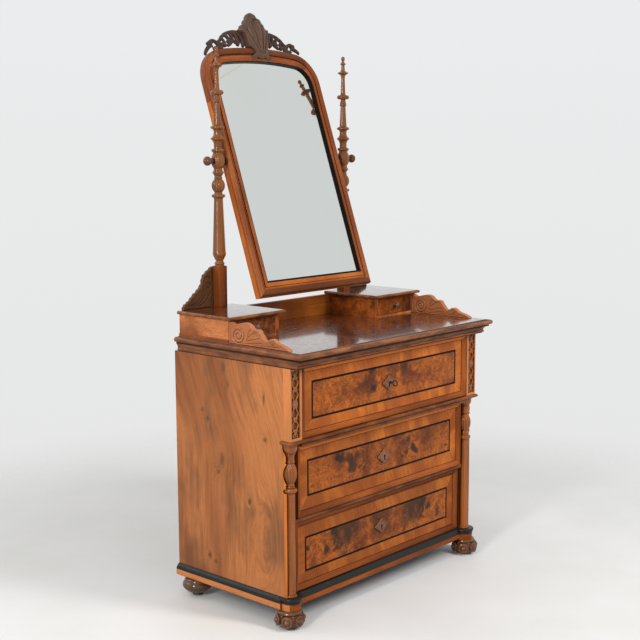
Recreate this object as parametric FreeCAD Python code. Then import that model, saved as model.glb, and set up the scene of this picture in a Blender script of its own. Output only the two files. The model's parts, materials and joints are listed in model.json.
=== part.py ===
import FreeCAD, Part
import math
import os
from FreeCAD import Vector

# A dresser with three long drawers, two small drawers on its top and a tilting mirror
# between two turned posts. Millimetres. X runs to the right seen from the front, Y to
# the back and Z up. While the pieces are made, x = 0 is the middle of the case, y = 0
# the front of the pilasters and z = 0 the floor. At the end every piece moves along Y,
# so that the origin is the middle of the underside of the box around the whole object.

# Fits
glue_gap = 0.3                  # between round faces of pieces that are fixed together
slide_gap = 0.3                 # under a drawer that rests on its runners
running_fit = 0.05              # on the radius of a pin in its hole

# Case
case_width = 1000.0
case_depth = 540.0
side_thickness = 20.0
corner_front = 31.0             # from the pilaster front to the side panels' front edges
side_lip = 9.0                  # the sides' front edges beside the columns
stile_width = 34.0
stile_depth = 39.0
back_thickness = 12.0
back_plank_count = 6
plank_gap = 0.6

# Heights, from the floor up
foot_height = 60.0
plinth_height = 22.0
base_thickness = 19.0
drawer_3_opening = 235.0
lower_rail_thickness = 14.0
drawer_2_opening = 242.0
mid_rail_thickness = 24.0
drawer_1_opening = 234.0
bearer_thickness = 34.0
top_thickness = 18.0
box_height = 73.0
box_board_thickness = 12.0

# Plinth and base moulding
plinth_overhang = 15.0          # out from the case sides
plinth_front_overhang = 12.0    # forward from the corner stiles
plinth_rail_thickness = 24.0
plinth_round = 7.0
foot_block_length = 90.0
corner_disc_radius = 38.0
corner_stub_radius = 33.0
side_strip_start = 12.0         # from the columns' axes back to the side strips

# Feet
foot_inset = 18.0               # from the case side to the feet's axes
front_foot_radius = 46.0
front_foot_contact = 17.0
rosette_radius = 17.0
rosette_count = 6
rear_foot_radius = 52.0
rear_foot_set_in = 72.0         # from the case back to the rear feet's axes
glide_radius = 18.0
glide_height = 14.0

# Corner columns
column_inset = 25.0             # from the case side to the column's axis
column_y = 27.0
column_shaft_radius = 16.0
column_facets = 16
column_torus_radius = 21.5
column_egg_radius = 21.5
column_egg_height = 66.0
column_neck_radius = 15.0
capital_radius = 24.0
capital_height = 36.0

# Mouldings and rails across the front
mid_moulding_nose = 8.0
mid_moulding_plate = 12.0       # its upper part, which covers the columns
mid_band_nose = 2.0             # its lower part, between the columns
mid_moulding_return = 11.0      # how far its ends run back along the sides
rail_depth = 60.0
lower_rail_nose = 5.0
lower_rail_lap = 10.0           # its nose laps the stiles by this

# Pilasters with their fretwork
pilaster_border_outer = 6.0
pilaster_border_inner = 11.0
pilaster_border_end = 9.0
fret_recess_depth = 9.0
fret_thickness = 6.5
fret_bar = 6.0
fret_block_height = 19.0
fret_knot_radius = 7.0

# Long drawers
drawer_gap = 1.5                # round each front
front_thickness = 22.0
frame_width = 20.5
frame_height = 11.0
drawer_1_face = 11.0            # from the pilaster front back to the panel
lower_drawer_face = 44.0
drawer_2_ajar = 12.0            # the middle drawer stands open by this at rest
tray_side_gap = 6.0
tray_thickness = 12.0
tray_bottom_thickness = 6.0
tray_bottom_rise = 8.0
tray_depth = 440.0
tray_top_drop = 18.0
runner_width = 54.0
runner_height = 20.0
guide_gap = 0.6
escutcheon_width = 70.0
escutcheon_height = 48.0
escutcheon_thickness = 6.0

# Locks and key
lock_width = 60.0
lock_height = 50.0
lock_depth = 12.0
bolt_width = 16.0
bolt_thickness = 5.4
bolt_gap = 0.3
bolt_travel = 8.0
staple_height = 12.0
staple_drop = 40.0
key_radius = 3.0
keyhole_radius = 4.0
key_reach = 34.0                # how far the key stands out from the escutcheon
key_bow_radius = 11.0
key_bow_bar = 3.5

# Top board and cornice
top_overhang = 44.0             # of the flat top in front of the pilasters
top_set_back = 18.0             # the top ends this far short of the case back
bearer_front = 20.0
bearer_width = 45.0
front_bearer_depth = 70.0
rear_bearer_depth = 40.0
cornice_lip = 2.2               # the top board stands above the cornice by this
cornice_bull = 16.8             # height of its rounded nose
cornice_ledge = 10.0            # from the flat top out to the start of the nose

# Small boxes on the top
box_set_in = 8.0                # from the case side to a box's outer side
box_width = 235.0
box_depth = 239.0
box_outer_thickness = 18.0
box_inner_thickness = 12.0
box_floor = 6.0
box_back_thickness = 12.0
box_board_inner_lap = 17.0      # the board stands out past the box, on each side in turn
box_board_outer_lap = 11.0
box_board_front_lap = 19.0
box_strip_height = 10.0
box_strip_proud = 3.0
small_gap = 1.0
small_front_thickness = 14.0
small_tray_thickness = 7.0
small_tray_bottom = 4.0
small_tray_depth = 165.0
small_tray_drop = 9.0
small_knob_radius = 9.5
small_knob_reach = 20.0
small_knob_stem = 4.0
back_rail_thickness = 15.0

# Volute brackets in front of the boxes
volute_thickness = 18.0
volute_relief = 2.0
volute_front = 10.0             # from the pilaster front back to its tip
volute_height = 71.0

# Posts and wing brackets
post_set_in = 24.0              # from the back of the top to the posts' axes
post_block = 36.0
post_block_height = 141.0
post_shaft_length = 188.0
post_shaft_low = 23.2
post_shaft_high = 15.8
post_facets = 8
post_ring_radius = 23.5
post_ball_radius = 23.4
post_ball_height = 44.0
post_vase_radius = 24.3
post_vase_height = 49.0
post_neck_radius = 13.4
finial_taper_length = 75.0
finial_spire_length = 56.0
wing_set_in = 21.0              # from the outer end of the board to the tip
wing_height = 140.0
wing_thickness = 12.0
wing_bar = 13.0

# Mirror. Its own heights are above and below the pivot axis.
mirror_rest_tilt = 19.0         # degrees, the top leans back
mirror_half_width = 292.0
mirror_side_gap = 8.7           # between the frame and the widest part of a post
mirror_drop = 488.0
mirror_rise = 422.0
mirror_shoulder = 119.0
mirror_crown = 1480.0
mirror_side_rail = 48.0
mirror_bottom_rail = 53.0
mirror_top_rail = 56.0
mirror_front = 14.0             # of the outer moulding in front of the pivot axis
mirror_back = 18.0
outer_moulding_width = 25.0
groove_width = 7.0
groove_depth = 6.0
band_step = 1.3
slip_thickness = 3.0
rebate_width = 8.0
glass_set_back = -2.5
glass_thickness = 4.0
glass_margin = 0.7
backboard_thickness = 7.0

# Crest on the mirror
foliage_set_in = 30.0           # from the side of the mirror frame
foliage_rise = 58.0
foliage_thickness = 13.0
foliage_back = 8.0
cartouche_half_width = 66.0
cartouche_rise = 133.0
cartouche_tail = 50.0
cartouche_proud = 22.0

# Pivot hardware
screw_radius = 4.0
screw_ball_radius = 16.0
screw_ball_reach = 50.0         # from the post's axis to the middle of the ball
washer_thickness = 2.6
washer_radius = 10.0
bush_radius = 8.0
bush_depth = 30.0
bush_flange_radius = 14.0

# Carved outlines. Each point is a share of the piece's length or half width, a share of
# its height, and for an arc the bulge as a share of the height.
volute_outline = [(0.1245, 0.9014, -0.021), (0.4322, 0.7606, 0.197), (0.5641, 0.4930, 0.127),
                  (0.6264, 0.2958, -0.028), (0.7875, 0.3662, 0.120), (1.0, 0.0845, -0.021)]
volute_scrolls = [(0.1612, 0.4225, 0.394), (0.7253, 0.2535, 0.169)]
wing_outline = [(0.914, 0.143), (0.654, 0.374, -0.0286), (0.450, 0.571, -0.0143),
                (0.313, 0.793, -0.0357), (0.106, 0.957, -0.0143), (0.0, 1.0)]
foliage_outline = [(1.0, -0.862), (1.0, -0.569), (0.8626, -0.0345, 0.052), (0.8626, 0.155),
                   (0.7328, 0.276, 0.155), (0.6832, 0.293), (0.5916, 0.741, -0.034),
                   (0.4695, 1.0, 0.034)]
foliage_holes = [(0.374, 0.534, 0.103), (0.5076, 0.466, 0.103), (0.6794, 0.103, 0.086)]
cartouche_outline = [(0.879, 0.060), (1.0, 0.466, 0.030), (0.758, 0.526), (0.606, 0.677, 0.015),
                     (0.545, 0.835, 0.030), (0.303, 0.857)]

# Worked out: heights
base_bottom = foot_height + plinth_height
base_top = base_bottom + base_thickness
lower_rail_bottom = base_top + drawer_3_opening
lower_rail_top = lower_rail_bottom + lower_rail_thickness
mid_rail_bottom = lower_rail_top + drawer_2_opening
mid_rail_top = mid_rail_bottom + mid_rail_thickness
case_top = mid_rail_top + drawer_1_opening
capital_top = mid_rail_top - mid_moulding_plate
top_bottom = case_top + bearer_thickness
top_surface = top_bottom + top_thickness
box_top = top_surface + box_height
board_surface = box_top + box_board_thickness

# Worked out: widths and depths
case_half = case_width / 2
inner_half = case_half - side_thickness
opening_half = inner_half - stile_width
front_half = opening_half - drawer_gap
tray_half = opening_half - tray_side_gap
column_x = case_half - column_inset
foot_x = case_half - foot_inset
top_back = case_depth - top_set_back
rear_foot_y = case_depth - rear_foot_set_in
box_outer = case_half - box_set_in
box_inner = box_outer - box_width
box_front = top_back - box_depth
box_board_inner = box_inner - box_board_inner_lap
box_board_outer = box_outer + box_board_outer_lap
box_board_front = box_front - box_board_front_lap
volute_length = box_front - volute_front
post_x = mirror_half_width + mirror_side_gap + post_vase_radius
post_y = top_back - post_set_in
wing_reach = box_board_outer - wing_set_in - post_x - post_block / 2
foliage_half_width = mirror_half_width - foliage_set_in
screw_ball_x = post_x + screw_ball_reach
rail_back = corner_front + rail_depth
back_front = case_depth - back_thickness
plinth_front = corner_front - plinth_front_overhang
plinth_half = case_half + plinth_overhang


# ---------------------------------------------------------------- plain shapes

def box(x0, x1, y0, y1, z0, z1):
    return Part.makeBox(x1 - x0, y1 - y0, z1 - z0, Vector(x0, y0, z0))


def post_of(x, y, radius, z0, z1):
    return Part.makeCylinder(radius, z1 - z0, Vector(x, y, z0), Vector(0, 0, 1))


def pin_along_x(x0, x1, y, z, radius):
    return Part.makeCylinder(radius, x1 - x0, Vector(x0, y, z), Vector(1, 0, 0))


def pin_along_y(x, y0, y1, z, radius):
    return Part.makeCylinder(radius, y1 - y0, Vector(x, y0, z), Vector(0, 1, 0))


def other_side(shape):
    return shape.mirror(Vector(0, 0, 0), Vector(1, 0, 0))


def both_sides(solids):
    return list(solids) + [other_side(solid) for solid in solids]


def fused(solids):
    whole = solids[0].multiFuse(solids[1:])
    return whole.removeSplitter()


def edge_between(start, end, bulge, to_space):
    """A straight edge, or an arc that bulges to the right of its run."""
    if abs(bulge) < 1e-6:
        return Part.LineSegment(to_space(*start), to_space(*end)).toShape()
    run_a = end[0] - start[0]
    run_b = end[1] - start[1]
    length = math.hypot(run_a, run_b)
    middle_a = (start[0] + end[0]) / 2 + bulge * run_b / length
    middle_b = (start[1] + end[1]) / 2 - bulge * run_a / length
    return Part.Arc(to_space(*start), to_space(middle_a, middle_b), to_space(*end)).toShape()


def outline(points, to_space):
    """A flat face. A third value makes the edge that arrives at its point an arc.
    Points run anticlockwise, so a positive bulge goes outwards."""
    edges = []
    last = points[-1]
    for point in points:
        bulge = point[2] if len(point) > 2 else 0.0
        edges.append(edge_between(last[:2], point[:2], bulge, to_space))
        last = point
    return Part.Face(Part.Wire(edges))


def plate_along_x(points, x0, x1):
    face = outline(points, lambda a, b: Vector(x0, a, b))
    return face.extrude(Vector(x1 - x0, 0, 0))


def plate_along_y(points, y0, y1):
    face = outline(points, lambda a, b: Vector(a, y0, b))
    return face.extrude(Vector(0, y1 - y0, 0))


def plate_along_z(points, z0, z1):
    face = outline(points, lambda a, b: Vector(a, b, z0))
    return face.extrude(Vector(0, 0, z1 - z0))


def turned(x, y, bottom, first_radius, steps):
    """A turned piece on an upright axis. A step is (rise, radius) or (rise, radius, bulge)."""
    points = [(0.0, bottom), (first_radius, bottom)]
    height = bottom
    for step in steps:
        height += step[0]
        points.append((step[1], height) + tuple(step[2:]))
    if points[-1][0] > 0:
        points.append((0.0, height))
    face = outline(points, lambda a, b: Vector(a, 0, b))
    solid = face.revolve(Vector(0, 0, 0), Vector(0, 0, 1), 360)
    solid.translate(Vector(x, y, 0))
    return solid


def rise_of(steps):
    return sum(step[0] for step in steps)


def swelling(rise, start, end):
    """A step whose arc runs upright where it meets the wider radius."""
    change = abs(end - start)
    chord = math.hypot(rise, change)
    return rise, end, chord / 2 * math.tan(math.atan2(change, rise) / 2)


def dome(rise, radius):
    """A last step whose arc runs level where it meets the axis."""
    chord = math.hypot(rise, radius)
    return rise, 0.0, chord / 2 * math.tan(math.atan2(rise, radius) / 2)


def faceted_shaft(x, y, z0, z1, radius_low, radius_high, facets):
    wires = []
    for height, radius in ((z0, radius_low), (z1, radius_high)):
        corners = []
        for index in range(facets + 1):
            angle = 2 * math.pi * (index + 0.5) / facets
            corners.append(Vector(x + radius * math.cos(angle), y + radius * math.sin(angle), height))
        wires.append(Part.makePolygon(corners))
    return Part.makeLoft(wires, True, True)


def nosed_board(x0, x1, y0, y1, z0, z1):
    """A board whose front and side edges are rounded, with a square back edge."""
    nose = (z1 - z0) / 2
    from_front = [(y0 + nose, z0, nose), (y1, z0), (y1, z1), (y0 + nose, z1)]
    from_side = [(x0 + nose, z0, nose), (x1 - nose, z0), (x1 - nose, z1, nose), (x0 + nose, z1)]
    long_way = plate_along_x(from_front, x0, x1)
    return long_way.common(plate_along_y(from_side, y0, y1))


# ---------------------------------------------------------------- base

def corner_cylinder(radius, z0, z1):
    return post_of(column_x, column_y, radius, z0, z1)


def base_board():
    board = box(-case_half, case_half, corner_front, case_depth, base_bottom, base_top)
    disc = corner_cylinder(corner_disc_radius + glue_gap, base_bottom, base_top)
    return [board.cut(disc).cut(other_side(disc))]


def base_moulding():
    """Black moulding round the base board: two side strips, a front strip and two discs."""
    section = [(0, 0), (plinth_overhang, 0), (0, base_thickness, 3.0)]
    side = [(case_half + a, base_bottom + b) + tuple(rest) for a, b, *rest in section]
    side_strip = plate_along_y(side, plinth_front, case_depth)
    scale = plinth_front_overhang / plinth_overhang
    front = [(corner_front - a * scale, base_bottom + b) + tuple(-r for r in rest)
             for a, b, *rest in section]
    front_strip = plate_along_x(front, -column_x, column_x)
    lower = corner_disc_radius - 4.0
    upper = corner_disc_radius - 2.5
    disc_steps = [(8.0, lower, 0.8), (0.0, upper), (base_thickness - 8.0, upper, 2.5)]
    disc = turned(column_x, column_y, base_bottom, lower, disc_steps)
    room = corner_cylinder(corner_disc_radius + glue_gap, base_bottom, base_top)
    front_strip = front_strip.cut(room).cut(other_side(room))
    start = column_y + side_strip_start
    in_front = box(0, 2 * case_half, -case_half, start, base_bottom, base_top)
    side_strip = side_strip.cut(room).cut(in_front)
    return [front_strip] + both_sides([side_strip, disc])


def plinth_frame():
    """Four rails, a block over each rear foot and a round stub over each front foot."""
    inner = plinth_half - plinth_rail_thickness
    lower = plinth_round
    section = [(inner, foot_height), (plinth_half - lower, foot_height)]
    section += [(plinth_half, foot_height + lower, 2.0), (plinth_half, base_bottom)]
    section += [(inner, base_bottom)]
    side_rail = plate_along_y(section, plinth_front, case_depth)
    room = corner_cylinder(corner_stub_radius + glue_gap, foot_height, base_bottom)
    start = column_y + side_strip_start
    in_front = box(0, 2 * case_half, -case_half, start, foot_height, base_bottom)
    side_rail = side_rail.cut(room).cut(in_front)
    front_section = [(plinth_front + lower, foot_height)]
    front_section += [(plinth_front + plinth_rail_thickness, foot_height)]
    front_section += [(plinth_front + plinth_rail_thickness, base_bottom)]
    front_section += [(plinth_front, base_bottom), (plinth_front, foot_height + lower)]
    front_rail = plate_along_x(front_section, -inner, inner)
    front_rail = front_rail.cut(room).cut(other_side(room))
    rear_rail = box(-inner, inner, case_depth - plinth_rail_thickness, case_depth,
                    foot_height, base_bottom)
    block_half = foot_block_length / 2
    block = box(inner - foot_block_length, inner, rear_foot_y - block_half,
                min(rear_foot_y + block_half, case_depth - plinth_rail_thickness),
                foot_height, base_bottom)
    stub = corner_cylinder(corner_stub_radius, foot_height, base_bottom)
    return [front_rail, rear_rail] + both_sides([side_rail, block, stub])


def front_feet():
    """Bun feet with a row of round carved rosettes."""
    waist = foot_height / 2
    steps = [(waist / 4, front_foot_radius - 14, 1.2)]
    steps += [swelling(waist * 3 / 4, front_foot_radius - 14, front_foot_radius)]
    steps += [swelling(waist * 0.6, front_foot_radius, front_foot_radius - 4)]
    steps += [(waist * 0.4, corner_stub_radius + 6, 1.0)]
    foot = turned(foot_x, column_y, 0.0, front_foot_contact, steps)
    rosettes = []
    for index in range(rosette_count):
        angle = 2 * math.pi * (index + 0.5) / rosette_count
        reach = front_foot_radius - rosette_radius * 0.38
        centre = Vector(foot_x + reach * math.cos(angle), column_y + reach * math.sin(angle), waist + 2)
        rosettes.append(Part.makeSphere(rosette_radius, centre))
    return both_sides([fused([foot] + rosettes)])


def rear_feet():
    height = foot_height - glide_height
    wide = rear_foot_radius
    steps = [(height * 0.2, wide - 7, 1.2), swelling(height * 0.3, wide - 7, wide)]
    steps += [swelling(height * 0.3, wide, wide - 7), (height * 0.2, wide - 12, 1.2)]
    return both_sides([turned(foot_x, rear_foot_y, glide_height, rear_foot_radius - 20, steps)])


def rear_glides():
    steps = [(2.0, glide_radius, 0.5), (glide_height - 2.0, glide_radius)]
    return both_sides([turned(foot_x, rear_foot_y, 0.0, glide_radius - 2.0, steps)])


# ---------------------------------------------------------------- case

def column_coves(z0):
    """The hollow that the corner pieces leave round a column, and round its capital."""
    belly = max(column_shaft_radius + 3.0, column_torus_radius, column_egg_radius) + 0.6
    capital_bottom = capital_top - capital_height - 2.0
    low = corner_cylinder(belly, z0, capital_bottom)
    high = corner_cylinder(capital_radius + 0.6, capital_bottom, capital_top)
    return low.fuse(high)


def side_panel():
    """A side of the case. Its front edge runs further forward beside the column."""
    panel = box(inner_half, case_half, corner_front, case_depth, base_top, case_top)
    lip_top = capital_top - capital_height - 2.0
    lip = box(inner_half, case_half, corner_front - side_lip, corner_front, base_top, lip_top)
    return panel.fuse(lip).removeSplitter().cut(column_coves(base_top))


def corner_stiles():
    stile = box(opening_half, inner_half, corner_front, corner_front + stile_depth, base_top, case_top)
    return both_sides([stile.cut(column_coves(base_top))])


def column():
    """Base bead, faceted shaft, torus, beads, carved egg, neck and capital."""
    base = [(7.0, column_shaft_radius, 2.2)]
    neck_low = column_neck_radius - 1.5
    egg_bulge = column_egg_radius - neck_low + 1.0
    upper = [(0.0, column_torus_radius - 4.0), (15.0, column_torus_radius - 4.0, 4.0)]
    upper += [(2.0, neck_low - 1.0), (5.0, neck_low - 1.0, 1.4), (5.0, neck_low - 1.0, 1.4)]
    upper += [(3.0, neck_low - 1.0), (column_egg_height, neck_low - 1.0, egg_bulge)]
    upper += [(7.0, neck_low - 1.0, 2.4), (0.0, column_neck_radius), (20.0, column_neck_radius)]
    flare = capital_height * 0.75
    upper += [(flare, capital_radius - 0.5, -3.0), (capital_height - flare, capital_radius)]
    torus_bottom = capital_top - rise_of(upper)
    shaft_bottom = base_top + rise_of(base)
    foot = turned(column_x, column_y, base_top, column_shaft_radius + 2.0, base)
    head = turned(column_x, column_y, torus_bottom, column_shaft_radius, upper)
    shaft = faceted_shaft(column_x, column_y, shaft_bottom, torus_bottom, column_shaft_radius,
                          column_shaft_radius, column_facets)
    return fused([foot, shaft, head])


def mid_moulding():
    """Rounded plate over the columns, which returns along each side, and a band between them."""
    back = corner_front + mid_moulding_return
    reach = case_half + mid_moulding_nose
    board = nosed_board(-reach, reach, -mid_moulding_nose, back, capital_top, mid_rail_top)
    behind = box(-case_half, case_half, corner_front, back, capital_top, mid_rail_top)
    between = column_x - capital_radius - 0.6
    band = nosed_board(-between, between, -mid_band_nose, corner_front, mid_rail_bottom, capital_top)
    return [fused([board.cut(behind), band])]


def bolt_mortise(y0, y1, z0, z1):
    half = bolt_width / 2 + 1.0
    return box(-half, half, y0 - 1.0, y1 + 1.0, z0, z1)


def bolt_span(face):
    """Front and back of a lock bolt behind a drawer front whose panel is at face."""
    front = face + front_thickness + (lock_depth - bolt_thickness) / 2
    return front, front + bolt_thickness


def mid_rail():
    rail = box(-opening_half, opening_half, corner_front, rail_back, mid_rail_bottom, mid_rail_top)
    front, back = bolt_span(lower_drawer_face)
    depth = bolt_travel - drawer_gap + 2.0
    mortise = bolt_mortise(front - drawer_2_ajar, back, mid_rail_bottom, mid_rail_bottom + depth)
    return [rail.cut(mortise)]


def lower_rail():
    rail = box(-opening_half, opening_half, corner_front, rail_back, lower_rail_bottom, lower_rail_top)
    reach = opening_half + lower_rail_lap
    nose_z = lower_rail_thickness / 2
    edge = corner_front
    section = [(edge, lower_rail_bottom), (edge, lower_rail_top), (edge - 1.0, lower_rail_top)]
    section += [(edge - 1.0, lower_rail_bottom, lower_rail_nose - 1.0)]
    nose = plate_along_x(section, -reach, reach)
    front, back = bolt_span(lower_drawer_face)
    depth = min(bolt_travel - drawer_gap + 1.5, lower_rail_thickness - nose_z / 2)
    mortise = bolt_mortise(front, back, lower_rail_bottom, lower_rail_bottom + depth)
    return [fused([rail, nose]).cut(mortise)]


def drawer_runners():
    """A runner and a guide on each side for each drawer; the lowest slides on the base board."""
    start = rail_back
    guide_inner = tray_half + guide_gap
    runner_inner = inner_half - runner_width
    pieces = []
    for level in (lower_rail_top, mid_rail_top):
        pieces.append(box(runner_inner, inner_half, start, back_front, level - runner_height, level))
    for level in (base_top, lower_rail_top, mid_rail_top):
        pieces.append(box(guide_inner, inner_half, start, back_front, level, level + runner_height))
    return both_sides(pieces)


def back_boards():
    planks = []
    pitch = 2 * inner_half / back_plank_count
    for index in range(back_plank_count):
        left = -inner_half + index * pitch
        planks.append(box(left, left + pitch - plank_gap, back_front, case_depth, base_top, case_top))
    return planks


def recess_bounds():
    left = opening_half + pilaster_border_inner
    right = case_half - pilaster_border_outer
    return left, right, mid_rail_top + pilaster_border_end, case_top - pilaster_border_end


def pilasters():
    left, right, low, high = recess_bounds()
    body = box(opening_half, case_half, 0.0, corner_front, mid_rail_top, case_top)
    return both_sides([body.cut(box(left, right, 0.0, fret_recess_depth, low, high))])


def oval(x, z, half_width, half_height, y0, y1):
    """A flat oval with pointed ends, standing in the front plane."""
    bulge = half_width * 0.98
    points = [(x, z - half_height), (x, z + half_height, bulge), (x, z - half_height, bulge)]
    return plate_along_y([points[2], points[1]], y0, y1)


def fretwork():
    """A chain of pierced ovals above and below a block, knotted together where they meet."""
    left, right, low, high = recess_bounds()
    middle_x = (left + right) / 2
    middle_z = (low + high) / 2
    half_width = (right - left) / 2 - glue_gap
    y0 = fret_recess_depth - fret_thickness
    y1 = fret_recess_depth
    block_half = fret_block_height / 2
    chain = (high - low) / 2 - block_half
    link = chain / 2.5
    solids = []
    for way in (1, -1):
        for number in (0.5, 1.5, 2.5):
            centre = middle_z + way * (block_half + link * number)
            reach = link / 2 + 2.5
            ring = oval(middle_x, centre, half_width, reach, y0, y1)
            hole = oval(middle_x, centre, half_width - fret_bar, reach - fret_bar, y0, y1)
            solids.append(ring.cut(hole))
        for number in (1, 2):
            knot = middle_z + way * (block_half + link * number)
            solids.append(pin_along_y(middle_x, y0 - 1.5, y1, knot, fret_knot_radius))
    solids.append(box(middle_x - half_width, middle_x + half_width, y0, y1,
                      middle_z - block_half, middle_z + block_half))
    inside = box(left + glue_gap, right - glue_gap, y0 - 2.0, y1, low + glue_gap, high - glue_gap)
    return both_sides([fused(solids).common(inside)])


# ---------------------------------------------------------------- long drawers

def mitred_strip(length, section):
    """A strip along X with 45 degree ends. The section is (in from the outer edge, height)."""
    width = max(point[0] for point in section)
    face = outline(section, lambda a, b: Vector(0, a, b))
    strip = face.extrude(Vector(length, 0, 0))
    height = max(point[1] for point in section) + 5.0
    corners = [(0, 0), (length, 0), (length - width, width), (width, width)]
    return strip.common(plate_along_z(corners, -1.0, height))


def frame_section():
    """Rounded outer edge, then a long slope down to the panel."""
    section = [(0, 0), (frame_width, 0), (frame_width, 1.6), (frame_width - 3.0, 2.6)]
    section += [(7.0, frame_height - 1.0, -1.2), (3.0, frame_height, 0.4)]
    section += [(0.0, frame_height - 3.0, 0.9)]
    return section


def placed(shape, origin, x_axis, y_axis):
    """Moves a shape made on the axes so that its X and Y run along the given directions."""
    z_axis = x_axis.cross(y_axis)
    turn = FreeCAD.Rotation(x_axis, y_axis, z_axis, "XYZ")
    moved = shape.copy()
    moved.Placement = FreeCAD.Placement(origin, turn)
    return moved


def drawer_frame(face, z0, z1):
    """Four mitred strips on the face of a drawer front."""
    long_strip = mitred_strip(2 * front_half, frame_section())
    short_strip = mitred_strip(z1 - z0, frame_section())
    right = Vector(1, 0, 0)
    up = Vector(0, 0, 1)
    left_low = Vector(-front_half, face, z0)
    left_high = Vector(-front_half, face, z1)
    right_low = Vector(front_half, face, z0)
    right_high = Vector(front_half, face, z1)
    return [placed(long_strip, left_low, right, up), placed(short_strip, right_low, up, -right),
            placed(long_strip, right_high, -right, -up), placed(short_strip, left_high, -up, right)]


def escutcheon(face, z):
    """A lozenge with four rounded lobes and a keyhole."""
    reach = escutcheon_width / 2
    rise = escutcheon_height / 2
    waist = 0.42
    points = [(reach, z), (reach * waist, z + rise * waist, -1.5), (0, z + rise, 2.0)]
    points += [(-reach * waist, z + rise * waist, 2.0), (-reach, z, -1.5)]
    points += [(-reach * waist, z - rise * waist, -1.5), (0, z - rise, 2.0)]
    points += [(reach * waist, z - rise * waist, 2.0)]
    points[0] = (reach, z, -1.5)
    return plate_along_y(points, face - escutcheon_thickness, face)


def keyhole(y0, y1, z):
    round_top = pin_along_y(0, y0, y1, z, keyhole_radius)
    slot = box(-keyhole_radius / 2, keyhole_radius / 2, y0, y1, z - 3 * keyhole_radius, z)
    return round_top.fuse(slot)


def drawer_front(face, opening_bottom, opening_top):
    z0 = opening_bottom + drawer_gap
    z1 = opening_top - drawer_gap
    middle = (z0 + z1) / 2
    back = face + front_thickness
    hole = keyhole(face - escutcheon_thickness, back, middle)
    board = box(-front_half, front_half, face, back, z0, z1).cut(hole)
    return [board] + drawer_frame(face, z0, z1) + [escutcheon(face, middle).cut(hole)]


def drawer_tray(face, opening_bottom, opening_top):
    """Two sides, a back and a bottom; the drawer's front closes the tray."""
    y0 = face + front_thickness
    y1 = min(y0 + tray_depth, back_front - 5.0)
    z0 = opening_bottom + slide_gap
    z1 = opening_top - tray_top_drop
    inner = tray_half - tray_thickness
    side = box(inner, tray_half, y0, y1, z0, z1)
    back = box(-inner, inner, y1 - tray_thickness, y1, z0, z1)
    floor = z0 + tray_bottom_rise
    bottom = box(-inner, inner, y0, y1 - tray_thickness, floor, floor + tray_bottom_thickness)
    return both_sides([side]) + [back, bottom]


def lock_case(face, opening_bottom, opening_top):
    """A lock on the back of a drawer front, and a staple that guides its long bolt."""
    back = face + front_thickness
    middle = (opening_bottom + opening_top) / 2
    top = opening_top - drawer_gap
    half = lock_width / 2
    bolt_front, bolt_back = bolt_span(face)
    channel_half = bolt_width / 2 + bolt_gap
    low = middle - lock_height / 4
    channel = box(-channel_half, channel_half, bolt_front - bolt_gap, bolt_back + bolt_gap, low, top)
    case = box(-half, half, back, back + lock_depth, middle - lock_height / 2, middle + lock_height / 2)
    key_seat = pin_along_y(0, back, bolt_front, middle, key_radius + running_fit)
    case = case.cut(channel).cut(key_seat)
    staple_top = top - staple_drop + staple_height
    staple = box(-half / 2, half / 2, back, back + lock_depth, top - staple_drop, staple_top)
    return [case, staple.cut(channel)]


def lock_bolt(face, opening_bottom, opening_top):
    """A flat bar from the lock up to the top edge of the drawer front."""
    middle = (opening_bottom + opening_top) / 2
    bolt_front, bolt_back = bolt_span(face)
    low = middle - lock_height / 4 + bolt_gap
    half = bolt_width / 2
    return [box(-half, half, bolt_front, bolt_back, low, opening_top - drawer_gap)]


def key():
    """A round shank with a collar and a ring bow, through the top drawer's lock."""
    middle = (mid_rail_top + case_top) / 2
    plate = drawer_1_face - escutcheon_thickness
    tip = drawer_1_face + front_thickness + (lock_depth - bolt_thickness) / 2 - 0.6
    bow_centre = plate - key_reach + key_bow_radius
    shank = pin_along_y(0, bow_centre + key_bow_radius - key_bow_bar / 2, tip, middle, key_radius)
    collar = pin_along_y(0, plate - 7.0, plate - 4.0, middle, key_radius + 1.8)
    half_bar = key_bow_bar / 2
    ring = Part.makeCylinder(key_bow_radius, key_bow_bar, Vector(-half_bar, bow_centre, middle),
                             Vector(1, 0, 0))
    eye = Part.makeCylinder(key_bow_radius - key_bow_bar, key_bow_bar,
                            Vector(-half_bar, bow_centre, middle), Vector(1, 0, 0))
    return [fused([ring.cut(eye), shank, collar])]


def shifted(solids, y):
    moved = []
    for solid in solids:
        copy = solid.copy()
        copy.translate(Vector(0, y, 0))
        moved.append(copy)
    return moved


# ---------------------------------------------------------------- top

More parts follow.
